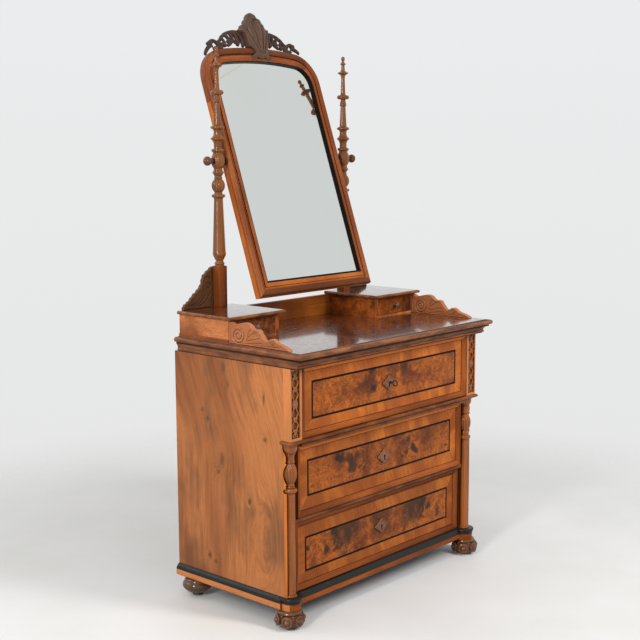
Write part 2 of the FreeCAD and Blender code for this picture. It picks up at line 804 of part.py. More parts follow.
def cornice():
    """A front strip and two side strips, mitred at the corners. Seen from above each
    height of the profile is one rectangle, so two long prisms that cross give the shape."""
    start = cornice_ledge
    top = top_surface - cornice_lip
    nose_low = top - cornice_bull
    cove_top = nose_low - 6.0
    bead_top = case_top + 11.0
    bead_low = case_top + 3.0
    front = -top_overhang
    profile = [(top_back, top), (front - start, top)]
    profile += [(front - start, nose_low, cornice_bull / 2), (front - start + 1.5, nose_low)]
    profile += [(front - start + 1.5, cove_top), (front + 13.0, bead_top, -5.0)]
    profile += [(front + 13.0, bead_low, 3.0), (front + 16.0, bead_low)]
    profile += [(front + 16.0, case_top), (top_back, case_top)]
    long_way = plate_along_x(profile, -2 * case_half, 2 * case_half)
    reach = case_half
    side = [(reach + start, top, cornice_bull / 2), (-reach - start, top)]
    side += [(-reach - start, nose_low, cornice_bull / 2), (-reach - start + 1.5, nose_low)]
    side += [(-reach - start + 1.5, cove_top), (-reach - 2.0, bead_top, -1.5)]
    side += [(-reach - 2.0, bead_low, 1.8), (-reach - 1.0, bead_low), (-reach - 1.0, case_top)]
    side += [(reach + 1.0, case_top), (reach + 1.0, bead_low), (reach + 2.0, bead_low)]
    side += [(reach + 2.0, bead_top, 1.8), (reach + start - 1.5, cove_top, -1.5)]
    side += [(reach + start - 1.5, nose_low), (reach + start, nose_low)]
    short_way = plate_along_y(side, -2 * case_half, top_back)
    whole = long_way.common(short_way)
    far = 2 * case_half
    whole = whole.cut(box(-reach, reach, front, far, top_bottom, top_surface))
    whole = whole.cut(box(-reach, reach, bearer_front, far, case_top, top_bottom))
    corner = [(-far, front - far + reach), (far, front - far + reach), (reach, front)]
    corner += [(reach, bearer_front), (-reach, bearer_front), (-reach, front)]
    front_part = plate_along_z(corner, case_top, top_surface)
    pieces = whole.common(front_part).Solids + whole.cut(front_part).Solids
    return pieces


def top_board():
    return [box(-case_half, case_half, -top_overhang, top_back, top_bottom, top_surface)]


def top_bearers():
    inner = case_half - bearer_width
    side = box(inner, case_half, bearer_front, top_back, case_top, top_bottom)
    front_end = bearer_front + front_bearer_depth
    front = box(-inner, inner, bearer_front, front_end, case_top, top_bottom)
    bolt_front, bolt_back = bolt_span(drawer_1_face)
    depth = bolt_travel - drawer_gap + 2.0
    front = front.cut(bolt_mortise(bolt_front, bolt_back, case_top, case_top + depth))
    rear = box(-inner, inner, top_back - rear_bearer_depth, top_back, case_top, top_bottom)
    return [front, rear] + both_sides([side])


# ---------------------------------------------------------------- small boxes

small_left = box_inner + box_inner_thickness
small_right = box_outer - box_outer_thickness
small_floor = top_surface + box_floor


def box_carcass():
    """Two sides, a floor and a back on the top board, with a thin strip along the outside."""
    outer = box(small_right, box_outer, box_front, top_back, top_surface, box_top)
    inner = box(box_inner, small_left, box_front, top_back, top_surface, box_top)
    back_start = top_back - box_back_thickness
    back = box(small_left, small_right, back_start, top_back, top_surface, box_top)
    floor = box(small_left, small_right, box_front, back_start, top_surface, small_floor)
    strip_end = box_outer + box_strip_proud
    low = top_surface
    strip_points = [(box_outer, low), (strip_end, low), (strip_end, low + box_strip_height - 3.0)]
    strip_points += [(box_outer, low + box_strip_height, 0.8)]
    strip = plate_along_y(strip_points, box_front, top_back)
    return [outer, inner, back, floor, strip]


def box_boards():
    board = nosed_board(box_board_inner, box_board_outer, box_board_front, top_back,
                        box_top, board_surface)
    return both_sides([board])


def back_rail():
    return [box(-box_inner, box_inner, top_back - back_rail_thickness, top_back, top_surface, box_top)]


def knob_turning(x, y_back, z):
    """A small round knob on a stem, turned on an axis along Y."""
    stem_length = small_front_thickness + small_knob_reach - small_knob_radius
    knob_steps = [(stem_length - 3.0, small_knob_stem), (3.0, small_knob_radius - 3.0, -1.0)]
    knob_steps += [(small_knob_radius, small_knob_radius - 3.0, 3.0)]
    knob_steps += [dome(2.5, small_knob_radius - 3.0)]
    knob = turned(0, 0, 0.0, small_knob_stem, knob_steps)
    knob.rotate(Vector(0, 0, 0), Vector(1, 0, 0), 90)
    knob.translate(Vector(x, y_back, z))
    return knob


def small_drawer_front():
    x0 = small_left + small_gap
    x1 = small_right - small_gap
    z0 = small_floor + small_gap
    z1 = box_top - small_gap
    back = box_front + small_front_thickness
    middle_x = (x0 + x1) / 2
    middle_z = (z0 + z1) / 2
    front = box(x0, x1, box_front, back, z0, z1)
    hole = pin_along_y(middle_x, box_front, back, middle_z, small_knob_stem + running_fit)
    return [front.cut(hole), knob_turning(middle_x, back, middle_z)]


def small_drawer_tray():
    x0 = small_left + small_gap
    x1 = small_right - small_gap
    y0 = box_front + small_front_thickness
    y1 = y0 + small_tray_depth
    z0 = small_floor + slide_gap
    z1 = box_top - small_tray_drop
    wall = small_tray_thickness
    left = box(x0, x0 + wall, y0, y1, z0, z1)
    right = box(x1 - wall, x1, y0, y1, z0, z1)
    back = box(x0 + wall, x1 - wall, y1 - wall, y1, z0, z1)
    bottom = box(x0 + wall, x1 - wall, y0, y1 - wall, z0, z0 + small_tray_bottom)
    return [left, right, back, bottom]


def along(outline_shares, start, length, bottom, height):
    """Turns shares of a length and a height into points, with their bulges."""
    points = []
    for across, up, *bulge in outline_shares:
        points.append((start + across * length, bottom + up * height) + tuple(b * height for b in bulge))
    return points


def volute_brackets():
    """A scrolled plate in front of each box, with a raised round at each scroll."""
    bottom = top_surface
    tip = box_front - volute_length
    points = [(tip, bottom), (box_front, bottom), (box_front, bottom + volute_height)]
    points += along(volute_outline, box_front, -volute_length, bottom, volute_height)
    outer = box_outer - volute_relief
    inner = box_outer - volute_thickness + volute_relief
    plate = plate_along_x(points, inner, outer)
    scrolls = []
    for back_by, up, radius in volute_scrolls:
        scrolls.append(pin_along_x(box_outer - volute_thickness, box_outer,
                                   box_front - back_by * volute_length,
                                   bottom + up * volute_height, radius * volute_height))
    return both_sides([fused([plate] + scrolls)])


# ---------------------------------------------------------------- posts

def below_pivot():
    """Turning between the square block and the middle of the vase that holds the pivot."""
    ring = post_ring_radius
    neck = post_neck_radius
    foot = [(16.0, 17.0, -1.5), (6.0, 14.0), (6.0, 17.0, 1.5), (13.0, post_shaft_low, 0.5)]
    upper = [(5.0, ring - 6.0, -0.5), (0.0, ring - 3.0), (12.0, ring - 3.0, 3.0), (0.0, neck + 1.0)]
    upper += [(7.0, neck)]
    upper += [(post_ball_height, neck, post_ball_radius - neck), (12.0, neck - 0.5, -0.8)]
    upper += [(7.0, ring - 7.0, 0.5), (8.0, ring - 7.0, 3.0), (4.0, ring - 8.0), (6.0, ring - 8.0)]
    upper.append(swelling(post_vase_height / 2, upper[-1][1], post_vase_radius))
    return foot, upper


def above_pivot():
    """The rest of the vase, then cup, rings, tapered spire and ball."""
    ring = post_ring_radius
    neck = post_neck_radius
    rise, end, bulge = swelling(post_vase_height / 2, post_vase_radius, ring - 7.0)
    steps = [(rise, end, bulge), (6.0, ring - 5.0), (0.0, ring - 4.0)]
    steps += [(10.0, ring - 4.0, 2.5), (0.0, neck + 1.0), (10.0, neck, -0.6)]
    steps += [(22.0, ring - 1.0, -2.5), (6.0, ring - 2.0, 1.2), (15.0, neck, -2.0)]
    steps += [(14.0, ring - 6.0, -2.0), (0.0, ring - 2.5), (10.0, ring - 2.5, 2.5)]
    steps += [(3.0, neck), (finial_taper_length, neck - 4.0)]
    steps += [(2.0, neck - 1.5), (13.0, neck - 1.5, 2.0), (11.0, neck - 4.0, -1.0)]
    steps += [(0.0, ring - 4.0), (16.0, ring - 4.0, 4.0), (0.0, neck - 2.0), (8.0, neck - 4.8)]
    steps += [(finial_spire_length, neck - 6.4), (5.0, neck - 5.0), (12.0, ring - 3.5, -1.0)]
    steps += [(12.0, neck - 6.4, -1.0), (18.0, neck - 7.4), (0.0, neck - 5.0)]
    steps += [(6.0, neck - 5.0, 1.4), (8.0, neck - 9.0, -0.5), swelling(9.0, neck - 9.0, 7.0)]
    steps += [dome(8.0, 7.0)]
    return steps


def pivot_height():
    foot, upper = below_pivot()
    block_top = board_surface + post_block_height
    return block_top + rise_of(foot) + post_shaft_length + rise_of(upper)


pivot_z = pivot_height()


def post():
    """Square block, turned foot, faceted shaft and the turning that carries the mirror."""
    half = post_block / 2
    block_top = board_surface + post_block_height
    foot, upper = below_pivot()
    shaft_bottom = block_top + rise_of(foot)
    shaft_top = shaft_bottom + post_shaft_length
    block = box(post_x - half, post_x + half, post_y - half, post_y + half, board_surface, block_top)
    low = turned(post_x, post_y, block_top, half, foot)
    shaft = faceted_shaft(post_x, post_y, shaft_bottom, shaft_top, post_shaft_low, post_shaft_high,
                          post_facets)
    high = turned(post_x, post_y, shaft_top, post_shaft_high, upper + above_pivot())
    bore = pin_along_x(post_x - 2 * half, post_x + 2 * half, post_y, pivot_z, screw_radius + running_fit)
    return fused([block, low, shaft, high]).cut(bore)


def wing_brackets():
    """A plate with a stepped, hollowed edge, outside the foot of each post."""
    start = post_x + post_block / 2
    bottom = board_surface
    y0 = top_back - wing_thickness
    points = [(start, bottom), (start + wing_reach, bottom), (start + wing_reach, bottom + wing_bar)]
    points += along(wing_outline, start, wing_reach, bottom, wing_height)
    return both_sides([plate_along_y(points, y0, y0 + wing_thickness)])


# ---------------------------------------------------------------- mirror

def arch_points(half_width, bottom, top, shoulder, crown):
    """Straight sides, a round shoulder on each and one flat arc over the top."""
    rise = math.sqrt((crown - shoulder) ** 2 - (half_width - shoulder) ** 2)
    spring = top - crown + rise
    reach = crown / (crown - shoulder)
    meet_x = (half_width - shoulder) * reach
    meet_z = top - crown + rise * reach
    turn = math.atan2(rise, half_width - shoulder)
    shoulder_bulge = shoulder * (1 - math.cos(turn / 2))
    crown_bulge = crown * (1 - math.cos(math.pi / 2 - turn))
    return [(-half_width, bottom), (half_width, bottom), (half_width, spring),
            (meet_x, meet_z, shoulder_bulge), (-meet_x, meet_z, crown_bulge),
            (-half_width, spring, shoulder_bulge)]


def outer_arch(inset, y0, y1):
    points = arch_points(mirror_half_width - inset, inset - mirror_drop, mirror_rise - inset,
                         mirror_shoulder - inset, mirror_crown - inset)
    return plate_along_y(points, y0, y1)


def opening_arch(grow, y0, y1):
    half_width = mirror_half_width - mirror_side_rail
    points = arch_points(half_width + grow, mirror_bottom_rail - mirror_drop - grow,
                         mirror_rise - mirror_top_rail + grow,
                         mirror_shoulder - mirror_side_rail + grow,
                         mirror_crown - mirror_top_rail + grow)
    return plate_along_y(points, y0, y1)


def moulded_ring():
    """The whole mirror frame: a rounded outer moulding, a groove and a flat inner band."""
    body = outer_arch(0.0, -mirror_front, mirror_back)
    front_edges = []
    for edge in body.Edges:
        bounds = edge.BoundBox
        if bounds.YMax < -mirror_front + 0.01:
            front_edges.append(edge)
    body = body.makeFillet(min(9.0, outer_moulding_width / 2 - 1), front_edges)
    groove_bottom = -mirror_front + groove_depth
    inner_edge = outer_moulding_width + groove_width
    groove = outer_arch(outer_moulding_width, -mirror_front - 1, groove_bottom)
    groove = groove.cut(outer_arch(inner_edge, -mirror_front - 1, groove_bottom))
    body = body.cut(groove)
    body = body.cut(outer_arch(inner_edge, -mirror_front - 1, -mirror_front + band_step))
    body = body.cut(opening_arch(slip_thickness, -mirror_front - 1, mirror_back + 1))
    return body.cut(opening_arch(rebate_width, glass_set_back, mirror_back + 1))


def mirror_joint_height():
    """Where the arched top rail meets the stiles."""
    return mirror_rise - mirror_top_rail - mirror_shoulder


def frame_parts():
    """Left stile, right stile, bottom rail and top rail of the frame, cut from one ring."""
    ring = moulded_ring()
    far = 2 * mirror_half_width
    joint = mirror_joint_height()
    top = ring.common(box(-far, far, -far, far, joint, far))
    lower = ring.cut(top)
    w = mirror_half_width
    d = mirror_drop
    run = mirror_side_rail / mirror_bottom_rail
    reach = mirror_bottom_rail + 40.0
    corners = [(-w - 40 * run, -d - 40), (w + 40 * run, -d - 40)]
    corners += [(w - reach * run, -d + reach), (-w + reach * run, -d + reach)]
    bottom = lower.common(plate_along_y(corners, -far, far))
    stiles = lower.cut(bottom)
    stile_right = stiles.common(box(0, far, -far, far, -far, far))
    stile_left = stiles.common(box(-far, 0, -far, far, -far, far))
    seat = pin_along_x(mirror_half_width - bush_depth, far, 0, 0, bush_radius + running_fit)
    return stile_left.cut(other_side(seat)), stile_right.cut(seat), bottom, top


def slip():
    """A thin black lining round the sight of the glass."""
    outer = opening_arch(slip_thickness, -mirror_front + band_step + 0.7, glass_set_back)
    return outer.cut(opening_arch(0.0, -mirror_front, glass_set_back))


def glass():
    return opening_arch(rebate_width - glass_margin, glass_set_back, glass_set_back + glass_thickness)


def backboard():
    front = glass_set_back + glass_thickness
    return opening_arch(rebate_width - glass_margin, front, front + backboard_thickness)


def mirror_bush():
    """A sleeve in the stile with a flange that fills the space beside the post."""
    vase_side = post_x - post_vase_radius - glue_gap
    sleeve = pin_along_x(mirror_half_width - bush_depth, mirror_half_width, 0, 0, bush_radius)
    flange = pin_along_x(mirror_half_width, vase_side, 0, 0, bush_flange_radius)
    bore = pin_along_x(mirror_half_width - bush_depth, vase_side, 0, 0, screw_radius + running_fit)
    return fused([sleeve, flange]).cut(bore)


def crest_foliage():
    """Pierced leafwork along the top of the frame, right half."""
    near = cartouche_half_width * 0.85
    low = mirror_rise - foliage_rise / 2
    points = [(near, low)]
    points += along(foliage_outline, 0.0, foliage_half_width, mirror_rise, foliage_rise)
    points += [(near, mirror_rise + foliage_rise * 0.948, foliage_rise * 0.086)]
    front = foliage_back - foliage_thickness
    plate = plate_along_y(points, front, foliage_back)
    for across, up, radius in foliage_holes:
        plate = plate.cut(pin_along_y(across * foliage_half_width, front - 1, foliage_back + 1,
                                      mirror_rise + up * foliage_rise, radius * foliage_rise))
    return plate.cut(outer_arch(-glue_gap, -mirror_front, mirror_back))


def crest_cartouche():
    """Carved leaf over a shield: the front outline, the side profile and the plan cross."""
    half = cartouche_half_width
    top = mirror_rise
    high = top + cartouche_rise
    tail = top - cartouche_tail
    right = along(cartouche_outline, 0.0, half, top, cartouche_rise)
    left = []
    bulge = ()
    for point in reversed(right):
        left.append((-point[0], point[1]) + bulge)
        bulge = tuple(point[2:])
    tip = half * 0.09
    front = right + [(tip, high, half * 0.076), (-tip, high, half * 0.03)]
    front += [left[0] + (half * 0.076,)] + left[1:]
    front += [(-half * 0.788, top - cartouche_tail / 2, half * 0.03), (-half * 0.758, tail)]
    front += [(half * 0.758, tail), (half * 0.788, top - cartouche_tail / 2)]
    face = plate_along_y(front, -2 * half, 2 * half)
    proud = mirror_front + cartouche_proud
    lean = cartouche_proud / 2
    side = [(-mirror_front, tail), (foliage_back, tail), (foliage_back, high), (-proud + lean, high)]
    side += [(-proud, top + cartouche_rise * 0.66, -lean / 3)]
    side += [(-mirror_front - lean * 0.7, tail + cartouche_tail / 5, lean / 2)]
    profile = plate_along_x(side, -2 * half, 2 * half)
    edge = -mirror_front - cartouche_proud / 5
    shoulder = -proud + lean / 2
    plan = [(-half, foliage_back), (-half, edge), (-half / 2, shoulder, lean / 5)]
    plan += [(half / 2, shoulder, lean / 2), (half, edge, lean / 5), (half, foliage_back)]
    spread = plate_along_z(plan, -2 * high, 2 * high)
    whole = face.common(profile).common(spread)
    return whole.cut(outer_arch(-glue_gap, -mirror_front - glue_gap, mirror_back))


def tilted(shape):
    """Moves a mirror piece from upright on the origin to its leaning place."""
    moved = shape.copy()
    moved.rotate(Vector(0, 0, 0), Vector(1, 0, 0), -mirror_rest_tilt)
    moved.translate(Vector(0, post_y, pivot_z))
    return moved


def pivot_washers():
    start = post_x + post_vase_radius + glue_gap
    washer = pin_along_x(start, start + washer_thickness, post_y, pivot_z, washer_radius)
    bore = pin_along_x(start, start + washer_thickness, post_y, pivot_z, screw_radius + running_fit)
    return both_sides([washer.cut(bore)])


def clamp_screw():
    """A turned knob on a screw that goes through the post into the mirror's bush."""
    start = mirror_half_width - bush_depth + 4.0
    collar = post_x + post_vase_radius + glue_gap + washer_thickness + glue_gap
    neck = screw_ball_x - screw_ball_radius * 0.8
    steps = [(collar - start, screw_radius), (0.0, screw_radius + 4.0)]
    steps += [(neck - collar, screw_radius + 4.5, -1.0)]
    ball = screw_ball_radius * 1.5
    steps += [(ball, screw_radius + 2.0, screw_ball_radius - screw_radius - 3.0)]
    steps += [dome(3.0, screw_radius + 2.0)]
    screw = turned(0, 0, 0.0, screw_radius, steps)
    screw.rotate(Vector(0, 0, 0), Vector(0, 1, 0), 90)
    screw.translate(Vector(start, post_y, pivot_z))
    return screw


# ---------------------------------------------------------------- the whole dresser

def long_drawers():
    levels = {1: (drawer_1_face, mid_rail_top, case_top, 0.0)}
    levels[2] = (lower_drawer_face, lower_rail_top, mid_rail_bottom, -drawer_2_ajar)
    levels[3] = (lower_drawer_face, base_top, lower_rail_bottom, 0.0)
    nodes = {}
    for number, (face, low, high, shift) in levels.items():
        nodes["drawer_front_%d" % number] = shifted(drawer_front(face, low, high), shift)
        nodes["drawer_tray_%d" % number] = shifted(drawer_tray(face, low, high), shift)
        nodes["lock_case_%d" % number] = shifted(lock_case(face, low, high), shift)
        nodes["lock_bolt_%d" % number] = shifted(lock_bolt(face, low, high), shift)
    return nodes


def handed_nodes(name, solids):
    return {name + "_right": solids, name + "_left": [other_side(solid) for solid in solids]}


def mirror_nodes():
    stile_left, stile_right, bottom, top = frame_parts()
    cartouche = crest_cartouche()
    foliage = [half.cut(cartouche) for half in both_sides([crest_foliage()])]
    bush = mirror_bush()
    upright = {
        "mirror_stile_left": [stile_left],
        "mirror_stile_right": [stile_right],
        "mirror_bottom_rail": [bottom],
        "mirror_top_rail": [top],
        "mirror_slip": [slip()],
        "mirror_glass": [glass()],
        "mirror_backboard": [backboard()],
        "mirror_bushes": both_sides([bush]),
        "crest_foliage": foliage,
        "crest_cartouche": [cartouche],
    }
    return {name: [tilted(solid) for solid in solids] for name, solids in upright.items()}


def all_nodes():
    nodes = {
        "base_board": base_board(),
        "base_moulding": base_moulding(),
        "plinth_frame": plinth_frame(),
        "front_feet": front_feet(),
        "rear_feet": rear_feet(),
        "rear_glides": rear_glides(),
        "corner_stiles": corner_stiles(),
        "mid_moulding": mid_moulding(),
        "mid_rail": mid_rail(),
        "lower_rail": lower_rail(),
        "drawer_runners": drawer_runners(),
        "back_boards": back_boards(),
        "pilasters": pilasters(),
        "fretwork": fretwork(),
        "cornice": cornice(),
        "top_board": top_board(),
        "top_bearers": top_bearers(),
        "box_boards": box_boards(),
        "back_rail": back_rail(),
        "volute_brackets": volute_brackets(),
        "wing_brackets": wing_brackets(),
        "pivot_washers": pivot_washers(),
        "key": key(),
    }
    nodes.update(handed_nodes("side_panel", [side_panel()]))
    nodes.update(handed_nodes("column", [column()]))
    nodes.update(handed_nodes("box_carcass", box_carcass()))
    nodes.update(handed_nodes("small_drawer_front", small_drawer_front()))
    nodes.update(handed_nodes("small_drawer_tray", small_drawer_tray()))
    nodes.update(handed_nodes("post", [post()]))
    nodes.update(handed_nodes("clamp_screw", [clamp_screw()]))
    nodes.update(long_drawers())
    nodes.update(mirror_nodes())
    return nodes


def write_parts():
    os.makedirs("parts", exist_ok=True)
    nodes = all_nodes()
    whole = Part.makeCompound([solid for solids in nodes.values() for solid in solids])
    bounds = whole.optimalBoundingBox(False, False)
    shift = -(bounds.YMin + bounds.YMax) / 2
    print("nodes %d, moved along Y by %.4f" % (len(nodes), shift))
    print("size %.1f x %.1f x %.1f, lowest z %.4f" % (bounds.XLength, bounds.YLength,
                                                  bounds.ZLength, bounds.ZMin))
    print("pivot axis y %.4f z %.4f" % (post_y + shift, pivot_z))
    for name, solids in nodes.items():
        moved = shifted(solids, shift)
        shape = moved[0] if len(moved) == 1 else Part.makeCompound(moved)
        shape.exportStep("parts/%s.step" % name)


write_parts()
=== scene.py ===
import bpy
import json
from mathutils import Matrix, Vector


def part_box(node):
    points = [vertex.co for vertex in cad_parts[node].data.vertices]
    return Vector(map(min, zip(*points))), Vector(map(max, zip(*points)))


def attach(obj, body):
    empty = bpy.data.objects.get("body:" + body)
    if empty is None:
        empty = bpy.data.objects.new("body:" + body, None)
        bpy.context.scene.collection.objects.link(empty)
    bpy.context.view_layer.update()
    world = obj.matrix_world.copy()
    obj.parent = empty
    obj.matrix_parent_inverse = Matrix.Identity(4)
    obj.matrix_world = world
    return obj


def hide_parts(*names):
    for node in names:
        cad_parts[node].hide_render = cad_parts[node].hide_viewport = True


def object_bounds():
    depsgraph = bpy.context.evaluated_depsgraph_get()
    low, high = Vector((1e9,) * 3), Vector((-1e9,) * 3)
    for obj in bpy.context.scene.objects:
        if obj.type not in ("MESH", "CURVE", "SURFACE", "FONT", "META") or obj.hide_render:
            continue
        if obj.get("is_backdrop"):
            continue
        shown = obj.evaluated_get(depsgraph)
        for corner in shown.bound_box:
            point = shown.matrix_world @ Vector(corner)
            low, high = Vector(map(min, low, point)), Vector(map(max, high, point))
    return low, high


bl_info = {
    "name": "Walnut dresser with tilting mirror",
    "version": (1, 0, 0),
    "blender": (4, 5, 0),
    "location": "View3D > Sidebar > Dresser",
    "description": "Models the finished look of a dresser around its construction model",
    "category": "Object",
}

import json
import math

import bmesh
import bpy
import numpy as np
from bpy.props import FloatProperty, FloatVectorProperty, IntProperty, PointerProperty
from mathutils import Matrix, Vector
from mathutils.geometry import delaunay_2d_cdt

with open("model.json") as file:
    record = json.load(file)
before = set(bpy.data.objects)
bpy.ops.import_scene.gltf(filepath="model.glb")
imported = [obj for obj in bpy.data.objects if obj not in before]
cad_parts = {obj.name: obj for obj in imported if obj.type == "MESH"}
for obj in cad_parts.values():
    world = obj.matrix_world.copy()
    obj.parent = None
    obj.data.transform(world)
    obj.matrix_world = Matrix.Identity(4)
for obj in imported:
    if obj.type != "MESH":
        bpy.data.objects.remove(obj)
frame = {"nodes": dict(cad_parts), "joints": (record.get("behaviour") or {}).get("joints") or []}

# Millimetres in this file, metres in the scene. x = 0 is the middle of the case, y = 0 the
# front of the pilasters and z = 0 the floor. The mirror is modelled upright on its pivot.
MM = 0.001
CAD_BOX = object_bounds()
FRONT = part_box("pilasters")[0].y
PIVOT = Vector(next(j for j in frame["joints"] if j["name"] == "mirror_tilt")["pos_m"])
LEAN = math.radians(-19.0)
LEFT_RIGHT = (("left", -1), ("right", 1))


def at(x, y, z):
    return Vector((x * MM, y * MM + FRONT, z * MM))


# ---------------------------------------------------------------- sizes and colours

def size(name, description, default):
    return FloatProperty(name=name, description=description, default=default * MM,
                         unit="LENGTH", subtype="DISTANCE")


def colour(name, description, red, green, blue):
    """A colour given as it looks on a screen, 0 to 255."""
    linear = [((c / 255 + 0.055) / 1.055) ** 2.4 if c > 10 else c / 3294 for c in (red, green, blue)]
    return FloatVectorProperty(name=name, description=description, default=(*linear, 1.0),
                               size=4, min=0.0, max=1.0, subtype="COLOR")


class DresserSizes(bpy.types.PropertyGroup):
    """Sizes of the finished surfaces that a user might change."""

    edge_softness: size("Edge softness", "Width of the worn edges of flat boards", 0.9)
    stringing_width: size("Stringing", "Width of the black line in a drawer front", 7.2)
    stringing_reach: size("Stringing reach", "From the middle to the outside of the black line", 390)
    # Painted shade: the quirk inside a drawer's moulding is painted black.
    quirk_shade_width: size("Quirk", "Width of the dark line inside a drawer's moulding", 1.3)
    groove_depth: size("Carved groove", "Depth of the incised carving on the brackets", 2.2)
    shaft_facets: IntProperty(name="Shaft facets", description="Flat sides of a mirror post's shaft",
                              default=8, min=4, max=16)
    melon_lobes: IntProperty(name="Melon lobes", description="Lobes of the carved melons and eggs",
                             default=12, min=6, max=24)
    foot_rosettes: IntProperty(name="Rosettes", description="Carved rosettes round a front foot",
                               default=6, min=4, max=12)


class DresserColours(bpy.types.PropertyGroup):
    """Colours of the woods and metals."""

    veneer_pale: colour("Pale veneer", "Warm zones of the side veneer", 192, 120, 68)
    veneer_dark: colour("Dark veneer", "Brown zones of the side veneer", 122, 68, 36)
    veneer_smoke: colour("Smoky veneer", "Round the knots of the side veneer", 84, 58, 42)
    banding_pale: colour("Pale banding", "Cross-grained bands round the drawers", 218, 126, 50)
    banding_dark: colour("Dark banding", "Dark stripes in the bands", 158, 82, 30)
    moulding_pale: colour("Pale moulding", "Solid walnut mouldings", 172, 92, 38)
    moulding_dark: colour("Dark moulding", "Dark streaks in the mouldings", 112, 56, 22)
    cap_pale: colour("Pale cap", "Cornice", 152, 92, 48)
    cap_dark: colour("Dark cap", "Dark streaks in the cornice", 94, 50, 26)
    plinth: colour("Plinth", "Side of the plinth", 240, 150, 88)
    pilaster: colour("Pilasters", "Faces of the pilasters", 206, 126, 78)
    # Painted shadow: rails and stiles behind the drawers and the cornice's fillets take this dark colour so
    # that they read as shade.
    shadow: colour("Dark walnut", "Rails and stiles behind the drawers, and recesses", 74, 42, 24)
    frame: colour("Mirror frame", "Rounded member of the mirror's frame", 142, 80, 40)
    burl_pale: colour("Pale burl", "Orange zones of the burl", 186, 100, 36)
    burl_middle: colour("Middle burl", "Red-brown zones of the burl", 108, 52, 22)
    burl_smoke: colour("Smoky burl", "Smoky patches and knots of the burl", 44, 34, 27)
    carved: colour("Carved walnut", "Scrolled brackets", 188, 114, 68)
    turned: colour("Turned walnut", "Columns", 160, 84, 10)
    post: colour("Posts", "Mirror posts", 126, 73, 28)
    crest: colour("Crest", "Dark carved crest", 88, 62, 48)
    foliage: colour("Foliage", "Pierced leaves of the crest", 62, 42, 32)
    foot: colour("Feet", "Bun feet", 112, 66, 34)
    top: colour("Polished top", "Top board", 100, 47, 22)
    ebony: colour("Ebonised wood", "Black mouldings", 30, 30, 28)
    stringing: colour("Stringing", "Dark lines in the drawer fronts", 24, 15, 9)
    deal: colour("Softwood", "Insides, runners and backs", 184, 136, 88)
    iron: colour("Iron", "Key, locks and glides", 92, 84, 78)
    glass: colour("Silvered glass", "Mirror", 221, 223, 220)


def sizes():
    return bpy.context.scene.dresser_sizes


def colours():
    return bpy.context.scene.dresser_colours


# ---------------------------------------------------------------- finishes

# Sockets of the Mix node's colour mode, which share their names with its other modes.
MIX_FIRST, MIX_SECOND, MIX_RESULT = 6, 7, 2


class Shading:
    """Builds a tree of shader nodes."""

    def __init__(self, tree):
        self.tree = tree

    def node(self, kind, inputs=None, output=0, **settings):
        made = self.tree.nodes.new("ShaderNode" + kind)
        for key, value in settings.items():
            setattr(made, key, value)
        for key, value in (inputs or {}).items():
            if isinstance(value, bpy.types.NodeSocket):
                self.tree.links.new(value, made.inputs[key])
            else:
                made.inputs[key].default_value = value
        return made.outputs[output]

    def math(self, operation, first, second=0.0, third=0.0):
        return self.node("Math", {0: first, 1: second, 2: third}, operation=operation)

    def times(self, first, second):
        return self.math("MULTIPLY", first, second)

    def times_plus(self, value, factor, addend):
        return self.math("MULTIPLY_ADD", value, factor, addend)

    def wave(self, value):
        """A sine wave between 0 and 1."""
        return self.times_plus(self.math("SINE", value), 0.5, 0.5)

    def spread(self, value, low, high, start=0.0, end=1.0):
        return self.node("MapRange", {"Value": value, "From Min": low, "From Max": high,
                                      "To Min": start, "To Max": end}, interpolation_type="SMOOTHSTEP")

    def vector(self, operation, first, second):
        return self.node("VectorMath", {0: first, 1: second}, operation=operation)

    def part(self, place, axis):
        return self.node("SeparateXYZ", {"Vector": place}, output=axis)

    def distance(self, place, centre, stretch):
        """Distance from a centre, with each axis stretched by its own factor."""
        away = self.vector("MULTIPLY", self.vector("SUBTRACT", place, centre), stretch)
        return self.node("VectorMath", {0: away}, output="Value", operation="LENGTH")

    def noise(self, place, stretch, detail=2.0, roughness=0.5, output=0):
        scaled = self.vector("MULTIPLY", place, stretch)
        return self.node("TexNoise", {"Vector": scaled, "Scale": 1.0, "Detail": detail,
                                      "Roughness": roughness}, output=output)

    def mix(self, factor, first, second, blend="MIX"):
        return self.node("Mix", {0: factor, MIX_FIRST: first, MIX_SECOND: second}, output=MIX_RESULT,
                         data_type="RGBA", blend_type=blend)

    def seen_plainly(self):
        """1 where the camera looks, straight or by way of gloss or glass, else 0."""
        path = self.tree.nodes.new("ShaderNodeLightPath").outputs
        seen = self.math("MAXIMUM", path["Is Camera Ray"], path["Is Glossy Ray"])
        return self.math("MAXIMUM", seen, path["Is Transmission Ray"])


